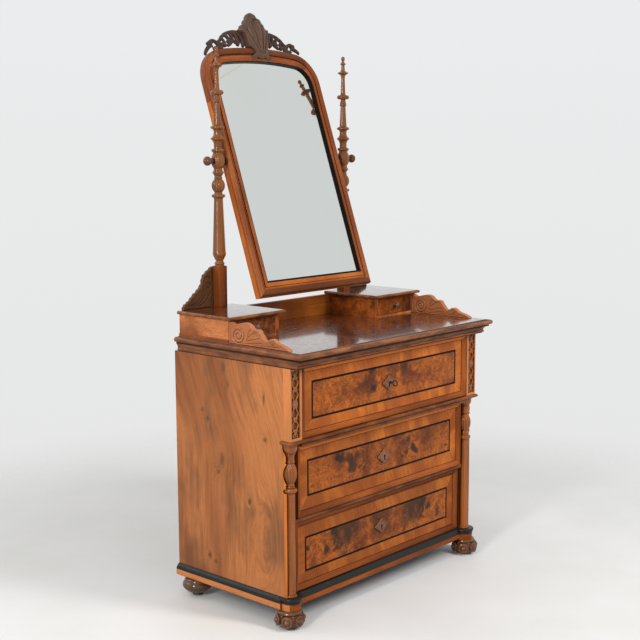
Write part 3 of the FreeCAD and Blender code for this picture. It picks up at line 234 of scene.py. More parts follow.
class Finish(Shading):
    """One procedural material."""

    def __init__(self, name):
        self.material = bpy.data.materials.new(name)
        self.material.use_nodes = True
        super().__init__(self.material.node_tree)
        self.surface = self.tree.nodes["Principled BSDF"]

    def coordinates(self):
        return self.node("TexCoord", output="Object")

    def place(self, grain="Z", seed=0.0, slant=0.0):
        """Object coordinates turned so that the grain runs along Z."""
        quarter = math.pi / 2
        x, y, z = {"X": (0.0, quarter, 0.0), "Y": (quarter, 0.0, 0.0), "Z": (0.0, 0.0, 0.0)}[grain]
        return self.node("Mapping", {"Vector": self.coordinates(), "Rotation": (x, y + slant, z),
                                     "Location": (seed, seed * 0.7, seed * 1.3)})

    def warped(self, place, stretch, amount, detail=1.0):
        drift = self.noise(place, stretch, detail, output="Color")
        centred = self.vector("ADD", drift, (-0.5, -0.5, -0.5))
        shift = self.node("VectorMath", {0: centred, "Scale": amount}, operation="SCALE")
        return self.vector("ADD", place, shift)

    def lacquer(self, base, roughness, bump, shine, height=0.0003, coat=0.0):
        """Colour, sheen and relief on the surface shader. Height is the relief in metres."""
        self.tree.links.new(base, self.surface.inputs["Base Color"])
        self.tree.links.new(roughness, self.surface.inputs["Roughness"])
        self.surface.inputs["Specular IOR Level"].default_value = shine
        self.surface.inputs["Coat Weight"].default_value = coat
        self.surface.inputs["Coat Roughness"].default_value = 0.10
        relief = self.node("Bump", {"Height": bump, "Strength": 0.6, "Distance": height})
        self.tree.links.new(relief, self.surface.inputs["Normal"])
        return self.material


FINISHES = {}


def finish(name, recipe, *words, **named_words):
    """The finish of that name, made the first time that it is asked for."""
    if name not in FINISHES:
        FINISHES[name] = recipe(name, *words, **named_words)
    return FINISHES[name]


def wood(name, pale, dark, grain, seed=0.0, figure=0.3, lines=14.0, cloud=3.0, rough=0.34,
         shine=0.16, slant=0.0, blocks=0.0):
    """Walnut with drifting growth lines, fibres and pores along the grain. Blocks are the
    width of its planks or leaves, which differ in tone."""
    f = Finish(name)
    place = f.place(grain, seed, slant)
    drifting = f.warped(place, (5.0, 5.0, 1.2), 0.06)
    zones = f.noise(drifting, (cloud, cloud, cloud * 0.35), 3.0, 0.55)
    field = f.noise(drifting, (2.6, 2.6, 0.5), 1.5, 0.4)
    rings = f.wave(f.times(field, 6.283 * lines))
    fibres = f.noise(drifting, (170.0, 170.0, 5.0), 3.0, 0.6)
    pores = f.spread(f.noise(place, (950.0, 950.0, 38.0), 1.0), 0.40, 0.30)
    tone = f.mix(f.spread(zones, 0.34, 0.68), dark, pale)
    deep = f.mix(0.55, dark, (0.012, 0.006, 0.004, 1.0))
    tone = f.mix(f.times(f.math("POWER", rings, 2.5), figure), tone, dark)
    tone = f.mix(f.times(f.spread(fibres, 0.42, 0.72), 0.46), tone, dark)
    tone = f.mix(f.times(pores, 0.5), tone, deep)
    if blocks:
        number = f.math("FLOOR", f.math("DIVIDE", f.part(place, "X"), blocks))
        shade = f.node("TexWhiteNoise", {"W": number}, noise_dimensions="1D")
        tone = f.mix(f.times(shade, 0.55), tone, dark)
    gloss = f.spread(fibres, 0.3, 0.8, rough - 0.04, rough + 0.08)
    return f.lacquer(tone, gloss, f.math("SUBTRACT", fibres, pores), shine)


# Knots of the side veneer: y, z, half width, half height, sideways push, darkness.
SIDE_KNOTS = (
    (301, 822, 16, 34, 0.035, 0.55), (284, 770, 13, 20, 0.020, 0.45), (406, 670, 8, 12, 0.020, 0.80),
    (378, 645, 9, 14, 0.022, 0.95), (116, 742, 8, 34, 0.012, 0.75), (105, 612, 13, 12, 0.050, 0.75),
    (312, 512, 17, 34, 0.035, 0.65), (330, 470, 14, 12, 0.020, 0.60), (190, 389, 13, 20, 0.030, 0.90),
    (176, 352, 18, 34, 0.020, 0.50), (376, 168, 14, 14, 0.030, 0.85), (346, 150, 16, 12, 0.020, 0.65),
    (92, 268, 40, 130, 0.095, 0.10),
)
# Centre of a pool of painted light on the side veneer, high and near its front edge.
PAINTED_LIGHT_AT = (0.0, 0.060 + FRONT, 0.720)


def flame_veneer(name, pale, dark, smoke):
    """Wide leaves of walnut whose figure flows upwards round dark knots, with a pool of painted light high
    near the front and painted light that pales the veneer towards the front.
    """
    f = Finish(name)
    coordinates = f.coordinates()
    drifting = f.warped(f.warped(coordinates, (3.4, 3.4, 1.7), 0.055, 2.0), (22.0, 22.0, 9.0), 0.009, 3.0)
    height = f.part(drifting, "Z")
    across = f.math("ADD", f.part(drifting, "Y"), f.spread(height, 0.50, 0.92, 0.0, -0.12))
    nearest = 9.0
    knots = []
    for y, z, wide, tall, push, darkness in SIDE_KNOTS:
        far = f.distance(drifting, (0.0, y * MM + FRONT, z * MM), (0.0, 1000.0 / wide, 1000.0 / tall))
        across = f.math("ADD", across, f.spread(far, 2.1, 0.0, 0.0, push))
        nearest = f.math("MINIMUM", nearest, far)
        knots.append((far, darkness))
    flowing = f.node("CombineXYZ", {"X": 0.0, "Y": across, "Z": height})
    zones = f.noise(flowing, (1.0, 6.0, 1.3), 3.0, 0.55)
    broad = f.wave(f.times(across, 210.0))
    fine = f.wave(f.times_plus(f.noise(flowing, (1.0, 16.0, 5.0), 2.0), 22.0, f.times(across, 760.0)))
    where = f.spread(f.noise(flowing, (1.0, 9.0, 3.0), 2.0), 0.38, 0.60)
    fibres = f.noise(flowing, (1.0, 240.0, 9.0), 4.0, 0.65)
    pores = f.spread(f.noise(flowing, (1.0, 900.0, 40.0), 1.0), 0.40, 0.30)
    # Painted light: the veneer is pushed towards its pale tone at the front of the side, as if lit from the
    # front.
    lift = f.times(f.part(coordinates, "Y"), -0.55)
    streaks = f.noise(flowing, (1.0, 62.0, 4.6), 5.0, 0.62)
    clouds = f.noise(f.warped(coordinates, (7.0,) * 3, 0.08, 2.0), (3.0, 5.0, 3.0), 3.0, 0.55)
    rings = f.wave(f.times_plus(streaks, 5.0, f.times(nearest, 15.0)))
    # Painted light: a pale pool round that point, which also thins the smoke there.
    painted_light_pool = f.spread(f.distance(coordinates, PAINTED_LIGHT_AT, (0.0, 1.0, 0.8)), 0.34, 0.04)
    painted_light_tone = f.mix(1.0, pale, (1.45, 1.45, 1.45, 1.0), "MULTIPLY")
    tone = f.mix(f.spread(f.math("ADD", zones, lift), 0.24, 0.64), dark, pale)
    tone = f.mix(f.times(f.math("POWER", broad, 3.0), 0.03), tone, dark)
    tone = f.mix(f.times(f.times(f.math("POWER", fine, 3.0), where), 0.09), tone, dark)
    tone = f.mix(f.times(painted_light_pool, 0.16), tone, painted_light_tone)
    tone = f.mix(f.spread(streaks, 0.46, 0.72, 0.0, 0.36), tone, dark)
    tone = f.mix(f.spread(streaks, 0.48, 0.28, 0.0, 0.26), tone, pale)
    smoky = f.times_plus(painted_light_pool, -0.12, f.times_plus(streaks, 0.25, clouds))
    tone = f.mix(f.spread(smoky, 0.58, 0.80, 0.0, 0.58), tone, smoke)
    tone = f.mix(f.times(f.spread(fibres, 0.42, 0.74), 0.46), tone, dark)
    tone = f.mix(f.times(f.times(rings, f.spread(nearest, 2.0, 0.7)), 0.16), tone, smoke)
    for far, darkness in knots:
        ragged = f.times_plus(clouds, 1.4, f.times_plus(streaks, 1.4, far))
        tone = f.mix(f.spread(ragged, 2.4, 1.5, 0.0, darkness), tone, smoke)
    tone = f.mix(f.times(pores, 0.35), tone, smoke)
    return f.lacquer(tone, f.spread(fibres, 0.3, 0.8, 0.30, 0.42), f.math("SUBTRACT", fibres, pores), 0.18)


def burl(name, pale, middle, smoke, seed, eyes, smoky, matched=True):
    """Swirled, feathery burl, book-matched about the middle, with smoky patches, or pale
    ones below zero, at (x, z, radius, darkness) in mm."""
    f = Finish(name)
    coordinates = f.coordinates()
    x, y, z = (f.part(coordinates, axis) for axis in "XYZ")
    if matched:
        x = f.math("ABSOLUTE", x)
    leaf = f.node("CombineXYZ", {"X": x, "Y": y, "Z": z})
    place = f.node("Mapping", {"Vector": leaf, "Location": (seed, 0.0, seed * 0.6)})
    loose = f.warped(place, (6.0,) * 3, 0.11, 2.0)
    zones = f.noise(loose, (9.0, 9.0, 10.0), 4.0, 0.6)
    curled = f.warped(loose, (24.0,) * 3, 0.030, 2.0)
    ragged = f.warped(f.warped(coordinates, (22.0,) * 3, 0.045, 3.0), (70.0,) * 3, 0.022, 3.0)
    shades = []
    lit = 0.0
    for eye_x, eye_z, radius, darkness in eyes:
        far = f.distance(ragged, (eye_x * MM, 0.0, eye_z * MM), (1.0, 0.0, 0.9))
        shade = f.spread(far, radius * MM * 1.25, radius * MM * 0.5, 0.0, abs(darkness))
        if darkness < 0:
            lit = f.math("MAXIMUM", lit, shade)
        else:
            shades.append(shade)
    curls = f.wave(f.times(f.noise(curled, (11.0, 11.0, 13.0), 2.0), 90.0))
    mottle = f.noise(curled, (46.0, 46.0, 54.0), 4.0, 0.62)
    flecks = f.noise(curled, (170.0,) * 3, 2.0, 0.6)
    cloud = f.noise(f.warped(place, (10.0,) * 3, 0.06, 2.0), (6.0,) * 3, 3.0, 0.5)
    tone = f.mix(f.spread(zones, 0.36, 0.62), middle, pale)
    tone = f.mix(lit, tone, pale)
    tone = f.mix(f.times(f.math("POWER", curls, 2.0), 0.42), tone, middle)
    tone = f.mix(f.spread(mottle, 0.40, 0.68, 0.0, 0.62), tone, middle)
    tone = f.mix(f.spread(mottle, 0.46, 0.28, 0.0, 0.50), tone, pale)
    tone = f.mix(f.spread(flecks, 0.48, 0.72, 0.0, 0.50), tone, smoke)
    haze = f.times_plus(mottle, 0.35, f.times_plus(lit, -0.35, cloud))
    tone = f.mix(f.spread(haze, smoky + 0.16, smoky + 0.30, 0.0, 0.75), tone, smoke)
    for shade in shades:
        tone = f.mix(shade, tone, smoke)
    return f.lacquer(tone, f.spread(mottle, 0.3, 0.8, 0.27, 0.40), mottle, 0.13, 0.00012)


def carved_wood(name, tone, grain, rough, shine, recess=0.75, rubbed=0.5):
    """Carved walnut: dark in the hollows and pale on the ridges, from wear and a painted highlight."""
    f = Finish(name)
    place = f.place(grain)
    fibres = f.noise(f.warped(place, (20.0,) * 3, 0.01), (150.0, 150.0, 9.0), 3.0, 0.6)
    zones = f.noise(place, (9.0, 9.0, 4.0), 2.0)
    pores = f.spread(f.noise(place, (900.0, 900.0, 60.0), 1.0), 0.40, 0.31)
    bend = f.node("NewGeometry", output="Pointiness")
    deep = f.mix(0.88, tone, (0.010, 0.006, 0.004, 1.0))
    bright = f.mix(0.22, tone, (0.85, 0.55, 0.34, 1.0))
    shade = f.mix(f.spread(zones, 0.35, 0.65, 0.0, 0.30), tone, deep)
    shade = f.mix(f.times(f.spread(fibres, 0.45, 0.75), 0.35), shade, deep)
    shade = f.mix(f.times(pores, 0.35), shade, deep)
    shade = f.mix(f.spread(bend, 0.495, 0.455, 0.0, recess), shade, deep)
    # Wear and painted highlight: ridges are pushed towards a paler tone.
    shade = f.mix(f.spread(bend, 0.52, 0.62, 0.0, rubbed), shade, bright)
    return f.lacquer(shade, f.spread(fibres, 0.3, 0.8, rough - 0.06, rough + 0.1), fibres, shine)


def turned_wood(name, tone, grain="Z", shine=0.5, rings=0.80, rubbed=0.65):
    """Varnished turning: amber with dark streaks, glossy, dark in the rings, and pale on the ridges from wear
    and a painted highlight.
    """
    f = Finish(name)
    place = f.place(grain)
    fibres = f.noise(f.warped(place, (20.0,) * 3, 0.01), (190.0, 190.0, 6.0), 3.0, 0.6)
    zones = f.noise(place, (34.0, 34.0, 3.0), 2.0)
    bend = f.node("NewGeometry", output="Pointiness")
    deep = f.mix(0.72, tone, (0.012, 0.006, 0.003, 1.0))
    bright = f.mix(0.35, tone, (0.75, 0.42, 0.18, 1.0))
    shade = f.mix(f.spread(zones, 0.38, 0.66, 0.0, 0.55), tone, deep)
    shade = f.mix(f.times(f.spread(fibres, 0.44, 0.74), 0.40), shade, deep)
    shade = f.mix(f.spread(bend, 0.495, 0.43, 0.0, rings), shade, deep)
    # Wear and painted highlight: ridges are pushed towards a paler tone.
    shade = f.mix(f.spread(bend, 0.53, 0.64, 0.0, rubbed), shade, bright)
    return f.lacquer(shade, f.spread(fibres, 0.3, 0.8, 0.10, 0.16), fibres, shine, 0.0002)


def polished_top(name, tone):
    """Dark walnut under thick polish, a little uneven and scratched."""
    f = Finish(name)
    place = f.place("X", 0.4)
    drifting = f.warped(place, (4.0, 4.0, 1.0), 0.08)
    fibres = f.noise(drifting, (120.0, 120.0, 4.0), 3.0, 0.6)
    zones = f.noise(drifting, (7.0, 7.0, 1.6), 3.0)
    deep = f.mix(0.6, tone, (0.012, 0.005, 0.003, 1.0))
    shade = f.mix(f.spread(zones, 0.35, 0.65, 0.0, 0.8), tone, deep)
    shade = f.mix(f.times(f.spread(fibres, 0.42, 0.7), 0.55), shade, deep)
    waves = f.noise(place, (26.0, 26.0, 9.0), 2.0)
    worn = f.noise(place, (60.0, 60.0, 30.0), 4.0, 0.7)
    made = f.lacquer(shade, f.spread(worn, 0.35, 0.75, 0.16, 0.34), waves, 0.6, 0.0006, coat=0.9)
    f.surface.inputs["Coat Roughness"].default_value = 0.07
    f.surface.inputs["Coat IOR"].default_value = 1.8
    return made


def ebonised(name, tone, shine=0.22):
    """Black polish with a little brown worn through on the edges."""
    f = Finish(name)
    place = f.place("X")
    fibres = f.noise(place, (150.0, 150.0, 8.0), 3.0)
    worn = f.noise(place, (55.0, 55.0, 30.0), 4.0, 0.7)
    shade = f.mix(f.spread(worn, 0.62, 0.80, 0.0, 0.5), tone, (0.14, 0.09, 0.05, 1.0))
    return f.lacquer(shade, f.spread(fibres, 0.3, 0.7, 0.26, 0.38), fibres, shine)


def metal(name, tone, rough=0.42):
    """Aged iron with rust in patches."""
    f = Finish(name)
    grime = f.noise(f.place(), (260.0,) * 3, 4.0, 0.65)
    shade = f.mix(f.spread(grime, 0.48, 0.68, 0.0, 0.7), tone, (0.10, 0.05, 0.03, 1.0))
    f.surface.inputs["Metallic"].default_value = 0.85
    return f.lacquer(shade, f.spread(grime, 0.3, 0.7, rough - 0.12, rough + 0.15), grime, 0.5, 0.0001)


def silvered_glass(name, tone):
    """Old mirror glass: almost even, with faint clouding and a thin yellow stain in one corner."""
    f = Finish(name)
    place = f.place()
    cloud = f.noise(place, (3.0, 3.0, 2.0), 2.0)
    shade = f.mix(f.spread(cloud, 0.4, 0.8, 0.0, 0.10), tone, (0.60, 0.60, 0.52, 1.0))
    wavering = f.warped(place, (30.0,) * 3, 0.008)
    x, z = f.part(wavering, "X"), f.part(wavering, "Z")
    off_line = f.math("SUBTRACT", z, f.times_plus(x, 0.44, 1.8655))
    line = f.spread(f.math("ABSOLUTE", off_line), 0.0045, 0.0008)
    ends = f.times(f.spread(x, -0.245, -0.215), f.spread(x, -0.085, -0.115))
    shade = f.mix(f.times(f.times(line, ends), 0.45), shade, (0.62, 0.55, 0.22, 1.0))
    f.surface.inputs["Metallic"].default_value = 1.0
    f.tree.links.new(shade, f.surface.inputs["Base Color"])
    f.tree.links.new(f.spread(cloud, 0.3, 0.7, 0.012, 0.03), f.surface.inputs["Roughness"])
    return f.material


def deeper(tone, share):
    """A colour brought down by a share, more in its blue than in its red."""
    return tone[0] * share, tone[1] * share * 0.97, tone[2] * share * 0.94, 1.0


def moulding(grain):
    c = colours()
    return finish("moulding_" + grain, wood, c.moulding_pale, c.moulding_dark, grain,
                  figure=0.25, lines=9, cloud=9, rough=0.30, shine=0.12)


def cap(grain):
    c = colours()
    return finish("cap_moulding_" + grain, wood, c.cap_pale, c.cap_dark, grain, 1.1,
                  figure=0.2, lines=7, cloud=34, rough=0.30, shine=0.22)


# The share darkens the bands, as painted shade on the lower drawers.
def banding(grain, share):
    c = colours()
    return finish("cross_banding_%s_%d" % (grain, share * 100), wood,
                  deeper(c.banding_pale, share), deeper(c.banding_dark, share), grain, 2.3,
                  figure=0.25, lines=22, cloud=12, rough=0.28, shine=0.12,
                  slant=0.30 if grain == "Z" else 0.2, blocks=0.13)


def deal(grain):
    return finish("softwood_" + grain, wood, colours().deal, (0.30, 0.15, 0.07, 1.0), grain, 0.9,
                  figure=0.5, lines=20, cloud=3, rough=0.6)


# Painted shadow: a near-black walnut where shade falls, in gaps and fillets.
def shadow_wood(grain):
    return finish("dark_walnut_" + grain, wood, colours().shadow, (0.010, 0.005, 0.003, 1.0), grain,
                  0.3, rough=0.5, shine=0.1)


def stringing():
    return finish("dark_stringing", ebonised, colours().stringing, shine=0.06)


def iron():
    return finish("aged_iron", metal, colours().iron)


def small_burl(name, seed):
    c = colours()
    return finish(name, burl, deeper(c.burl_pale, 0.82), deeper(c.burl_middle, 0.75), c.burl_smoke,
                  seed, eyes=(), smoky=0.42, matched=False)


# ---------------------------------------------------------------- at the bench

def nothing_selected():
    if bpy.context.mode != "OBJECT":
        bpy.ops.object.mode_set(mode="OBJECT")
    bpy.ops.object.select_all(action="DESELECT")


def only(piece):
    nothing_selected()
    piece.select_set(True)
    bpy.context.view_layer.objects.active = piece
    return piece


def edit(piece, kind="FACE", chosen=False):
    only(piece)
    bpy.ops.object.mode_set(mode="EDIT")
    bpy.ops.mesh.select_mode(type=kind)
    bpy.ops.mesh.select_all(action="SELECT" if chosen else "DESELECT")


def choose_faces(piece, test):
    mesh = bmesh.from_edit_mesh(piece.data)
    for face in mesh.faces:
        face.select_set(bool(test(face.calc_center_median(), face.normal)))
    bmesh.update_edit_mesh(piece.data)


def shade(piece, angle=35.0):
    only(piece)
    bpy.ops.object.shade_smooth_by_angle(angle=math.radians(angle))
    return piece


def close_edit(piece, angle=35.0):
    """Welds doubles, turns the faces outwards and shades by angle."""
    bpy.ops.mesh.select_all(action="SELECT")
    bpy.ops.mesh.remove_doubles(threshold=1e-6)
    bpy.ops.mesh.normals_make_consistent(inside=False)
    bpy.ops.object.mode_set(mode="OBJECT")
    return shade(piece, angle)


def from_points(name, points, edges, faces):
    mesh = bpy.data.meshes.new(name)
    mesh.from_pydata([tuple(p) for p in points], edges, faces)
    piece = bpy.data.objects.new(name, mesh)
    bpy.context.scene.collection.objects.link(piece)
    return piece


def block(name, low, high):
    """A cube primitive at its size and place."""
    nothing_selected()
    bpy.ops.mesh.primitive_cube_add(size=1, location=(low + high) / 2, scale=high - low)
    piece = bpy.context.object
    piece.name = name
    bpy.ops.object.transform_apply(location=True, rotation=True, scale=True)
    return piece


def modify(piece, kind, **settings):
    """Adds a modifier and applies it."""
    only(piece)
    made = piece.modifiers.new(kind.lower(), kind)
    for key, value in settings.items():
        setattr(made, key, value)
    bpy.ops.object.modifier_apply(modifier=made.name)


def soften(piece, width, segments=2):
    modify(piece, "BEVEL", width=width, segments=segments, limit_method="ANGLE",
           angle_limit=math.radians(30.0))
    return shade(piece)


def combine(piece, operation, tool):
    modify(piece, "BOOLEAN", object=tool, operation=operation, solver="EXACT")


def join(name, pieces):
    nothing_selected()
    for piece in pieces:
        piece.select_set(True)
    bpy.context.view_layer.objects.active = pieces[0]
    if len(pieces) > 1:
        bpy.ops.object.join()
    pieces[0].name = name
    return pieces[0]


def moved_copy(piece, matrix, name):
    """A copy with its own mesh, moved by a matrix."""
    copy = bpy.data.objects.new(name, piece.data.copy())
    bpy.context.scene.collection.objects.link(copy)
    copy.data.transform(matrix)
    if matrix.determinant() < 0:
        edit(copy, chosen=True)
        bpy.ops.mesh.normals_make_consistent(inside=False)
        bpy.ops.object.mode_set(mode="OBJECT")
    return copy


def mirrored(piece, name):
    return moved_copy(piece, Matrix.Scale(-1, 4, Vector((1, 0, 0))), name)


def refined(node, name, soft=0.0):
    """A welded copy of a construction node, with soft edges and smooth curves."""
    piece = bpy.data.objects.new(name, frame["nodes"][node].data.copy())
    bpy.context.scene.collection.objects.link(piece)
    edit(piece, chosen=True)
    bpy.ops.mesh.customdata_custom_splitnormals_clear()
    bpy.ops.mesh.remove_doubles(threshold=2e-6)
    bpy.ops.mesh.dissolve_limited(angle_limit=math.radians(0.6))
    bpy.ops.object.mode_set(mode="OBJECT")
    shade(piece)
    if soft:
        soften(piece, soft)
    return piece


def refinish(node, body, slot, materials, soft=0.0, zones=()):
    """Hands over a refined copy of a node. Zones are (material's number, test) for its faces."""
    piece = paint(refined(node, "finished_" + node, soft), *materials)
    for number, test in zones:
        paint_faces(piece, number, test)
    return hand_over(piece, body, slot, node)


def paint(piece, *materials):
    piece.data.materials.clear()
    for material in materials:
        piece.data.materials.append(material)
    return piece


def paint_faces(piece, number, test):
    """Gives a material by its number to the faces that a test picks."""
    for polygon in piece.data.polygons:
        if test(polygon.center, polygon.normal):
            polygon.material_index = number
    return piece


def hand_over(piece, body, slot, *nodes):
    """The piece moves with its body and stands for its nodes. Its slot is not used."""
    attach(piece, body)
    if nodes:
        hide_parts(*nodes)
    return piece


def leaning(piece):
    """Moves a mirror piece from upright on the origin to its leaning place."""
    piece.data.transform(Matrix.Translation(PIVOT) @ Matrix.Rotation(LEAN, 4, "X"))
    return piece


# ---------------------------------------------------------------- turning

def arc_points(start, end, bulge, divisions=8):
    """Points after start on an arc that bulges to the right of its run."""
    run = np.array(end, float) - start
    length = np.hypot(*run)
    along = run / length
    out = np.array([along[1], -along[0]])
    half = 2 * math.atan(2 * bulge / length)
    radius = length / (2 * math.sin(half))
    points = []
    for index in range(1, divisions + 1):
        angle = -half + 2 * half * index / divisions
        middle = (np.array(start) + end) / 2
        points.append(middle + along * radius * math.sin(angle)
                      + out * radius * (math.cos(angle) - math.cos(half)))
    return [tuple(p) for p in points]


def profile_of(bottom, first_radius, steps):
    """Radius and height along a turned profile. A step is (rise, radius) or (rise, radius, bulge)."""
    points = [(0.0, bottom), (first_radius, bottom)]
    for rise, radius, *bulge in steps:
        end = (radius, points[-1][1] + rise)
        if bulge and abs(bulge[0]) > 1e-6:
            points += arc_points(points[-1], end, bulge[0])
        else:
            points.append(end)
    if points[-1][0] > 1e-6:
        points.append((0.0, points[-1][1]))
    return points


def swelling(rise, start, end):
    """A step that leaves upright at its wider end."""
    chord = math.hypot(rise, end - start)
    return rise, end, chord / 2 * math.tan(math.atan2(abs(end - start), rise) / 2)


def dome(rise, radius):
    """A step that closes the top in a round."""
    chord = math.hypot(rise, radius)
    return rise, 0.0, chord / 2 * math.tan(math.atan2(rise, radius) / 2)


def filled_in(points, pitch):
    """Adds points on long straight runs so that carving has something to move."""
    made = [points[0]]
    for point in points[1:]:
        last = made[-1]
        count = max(1, int(math.dist(last, point) / pitch))
        for index in range(1, count + 1):
            share = index / count
            made.append((last[0] + (point[0] - last[0]) * share, last[1] + (point[1] - last[1]) * share))
    return made


def spun(name, profile, steps, pitch):
    """Turns a profile of (radius, height) round the upright axis through the origin."""
    points = filled_in(profile, pitch)
    piece = from_points(name, [(r * MM, 0, z * MM) for r, z in points],
                        [(i, i + 1) for i in range(len(points) - 1)], [])
    edit(piece, "VERT", chosen=True)
    bpy.ops.mesh.spin(steps=steps, angle=2 * math.pi, center=(0, 0, 0), axis=(0, 0, 1))
    return close_edit(piece)


def reshape(piece, change):
    """Moves each vertex by change(radius, angle, height), which gives the new radius in mm."""
    for vertex in piece.data.vertices:
        x, y, z = vertex.co / MM
        radius = math.hypot(x, y)
        if radius > 0.01:
            new = change(radius, math.atan2(y, x), z)
            vertex.co.x *= new / radius
            vertex.co.y *= new / radius
    return piece


def lobed(low, high, count, depth, sharpness):
    """Round lobes with sharp valleys between two heights, fading at both ends."""
    def change(radius, angle, height):
        if not low < height < high:
            return radius
        fade = math.sin(math.pi * (height - low) / (high - low)) ** 0.5
        return radius - depth * fade * (1 - abs(math.cos(count * angle / 2)) ** sharpness)
    return change


def faceted(low, high, sides, hollow, turn):
    """Nearly flat, slightly hollow sides between two heights, fading at both ends."""
    def change(radius, angle, height):
        if not low < height < high:
            return radius
        part = math.pi / sides
        away = ((angle + turn) % (2 * part)) - part
        flat = math.cos(part) / math.cos(away)
        fade = min(1.0, (height - low) / 9.0, (high - height) / 7.0)
        dip = hollow * math.cos(away / part * math.pi / 2) ** 2
        return radius * (1 + 0.7 * (flat - 1) * fade) - dip * fade
    return change


# ---------------------------------------------------------------- carving

def smooth_path(points, spacing):
    """A smooth line through control points; every column is carried along."""
    points = np.array(points, float)
    padded = np.vstack([2 * points[0] - points[1], points, 2 * points[-1] - points[-2]])
    made = []
    for index in range(1, len(padded) - 2):
        a, b, c, d = padded[index - 1:index + 3]
        count = max(2, int(np.hypot(*(c - b)[:2]) / spacing))
        for share in np.arange(count) / count:
            made.append(0.5 * (2 * b + (c - a) * share + (2 * a - 5 * b + 4 * c - d) * share ** 2
                               + (3 * b - a - 3 * c + d) * share ** 3))
    made.append(points[-1])
    return np.array(made)


def spiral(u, v, inner, outer, start, turns):
    """A scroll from its outer end to its eye. start is the outer end's angle in degrees."""
    count = max(12, int(abs(turns) * 28))
    points = []
    for index in range(count + 1):
        share = index / count
        radius = outer + (inner - outer) * share ** 0.85
        angle = math.radians(start) + 2 * math.pi * turns * share
        points.append((u + radius * math.cos(angle), v + radius * math.sin(angle)))
    return np.array(points)


def lines_through(*lines):
    """Smooth lines for carving, each through its own points."""
    return [smooth_path(line, 2) for line in lines]


def away_from(points, line):
    """Distance of each point from a polyline, and how far along it the nearest place is."""
    line = np.array(line, float)[:, :2]
    start, run = line[:-1], np.diff(line, axis=0)
    length = np.maximum((run ** 2).sum(1), 1e-12)
    share = ((points[:, None, :] - start) * run).sum(2) / length
    share = np.clip(share, 0, 1)
    gap = np.linalg.norm(points[:, None, :] - (start + share[..., None] * run), axis=2)
    nearest = gap.argmin(1)
    rows = np.arange(len(points))
    return gap[rows, nearest], (nearest + share[rows, nearest]) / len(run)


def inside(points, loop):
    """Which points lie inside a closed outline."""
    loop = np.array(loop, float)
    x0, y0 = loop[:, 0], loop[:, 1]
    x1, y1 = np.roll(x0, -1), np.roll(y0, -1)
    x, y = points[:, 0][:, None], points[:, 1][:, None]
    crosses = (y0 > y) != (y1 > y)
    with np.errstate(divide="ignore", invalid="ignore"):
        hit = x < (x1 - x0) * (y - y0) / (y1 - y0) + x0
    return (crosses & hit).sum(1) % 2 == 1


def even_loop(loop, pitch):
    loop = [tuple(p[:2]) for p in loop]
    points = []
    for a, b in zip(loop, loop[1:] + loop[:1]):
        count = max(1, round(math.dist(a, b) / pitch))
        points += [(a[0] + (b[0] - a[0]) * k / count, a[1] + (b[1] - a[1]) * k / count)
                   for k in range(count)]
    return points


def carved_plate(name, outline, pitch, height, back, to_space):
    """A plate with a carved face: height(points, edge distance) gives its front above the
    plate's middle, back the same for its back as a number or a function."""
    loop = even_loop(outline, pitch)
    rim = np.array(loop)
    edges = [(k, (k + 1) % len(loop)) for k in range(len(loop))]
    low, high = rim.min(0), rim.max(0)
    grid = []
    for index, row in enumerate(np.arange(low[1], high[1], pitch * 0.866)):
        across = np.arange(low[0] + (index % 2) * pitch / 2, high[0], pitch)
        grid.append(np.column_stack([across, np.full(len(across), row)]))
    grid = np.vstack(grid)
    closed = np.array(loop + loop[:1])
    grid = grid[inside(grid, loop) & (away_from(grid, closed)[0] > pitch * 0.55)]
    flat = np.vstack([rim, grid])
    vertices, _, faces, *_ = delaunay_2d_cdt([Vector(p) for p in flat], edges, [], 0, 1e-7)
    flat = np.array([tuple(v) for v in vertices])
    faces = np.array([tuple(face) for face in faces])
    faces = faces[inside(flat[faces].mean(1), loop)]
    gap = away_from(flat, closed)[0]
    front = height(flat, gap)
    rear = back(flat, gap) if callable(back) else np.full(len(flat), float(back))
    count = len(flat)
    points = [to_space(u, v, w) for side in (front, rear) for (u, v), w in zip(flat, side)]
    sides = {}
    for a, b, c in faces:
        for first, second in ((a, b), (b, c), (c, a)):
            key = (min(first, second), max(first, second))
            sides[key] = None if key in sides else (first, second)
    everything = [tuple(int(k) for k in f) for f in faces]
    everything += [tuple(int(k) + count for k in f[::-1]) for f in faces]
    everything += [tuple(int(k) for k in (a, a + count, b + count, b))
                   for a, b in (side for side in sides.values() if side)]
    piece = from_points(name, points, [], everything)
    edit(piece, chosen=True)
    bpy.ops.mesh.delete_loose()
    return close_edit(piece, angle=50.0)


def rounded_edge(gap, width, drop):
    """How far the face falls towards its outline."""
    share = np.clip(gap / width, 0, 1)
    return -drop * (1 - np.sqrt(1 - (1 - share) ** 2))


def incised(points, lines, width, depth):
    """Grooves along lines."""
    cut = np.zeros(len(points))
    for line in lines:
        gap, share = away_from(points, line)
        taper = np.clip(np.minimum(share, 1 - share) * 8, 0.25, 1)
        cut = np.maximum(cut, depth * taper * np.exp(-(gap / width) ** 2))
    return -cut


def raised(points, line, widths, crown, vein=0.0):
    """A leaf or scroll standing above the face: widths at its two ends and its middle."""
    gap, share = away_from(points, line)
    start, middle, end = widths
    width = np.where(share < 0.5, start + (middle - start) * share * 2,
                     middle + (end - middle) * (share * 2 - 1))
    across = np.clip(gap / width, 0, 1)
    body = crown * np.sqrt(1 - across ** 2)
    return body - vein * np.exp(-(gap / (0.22 * width)) ** 2)


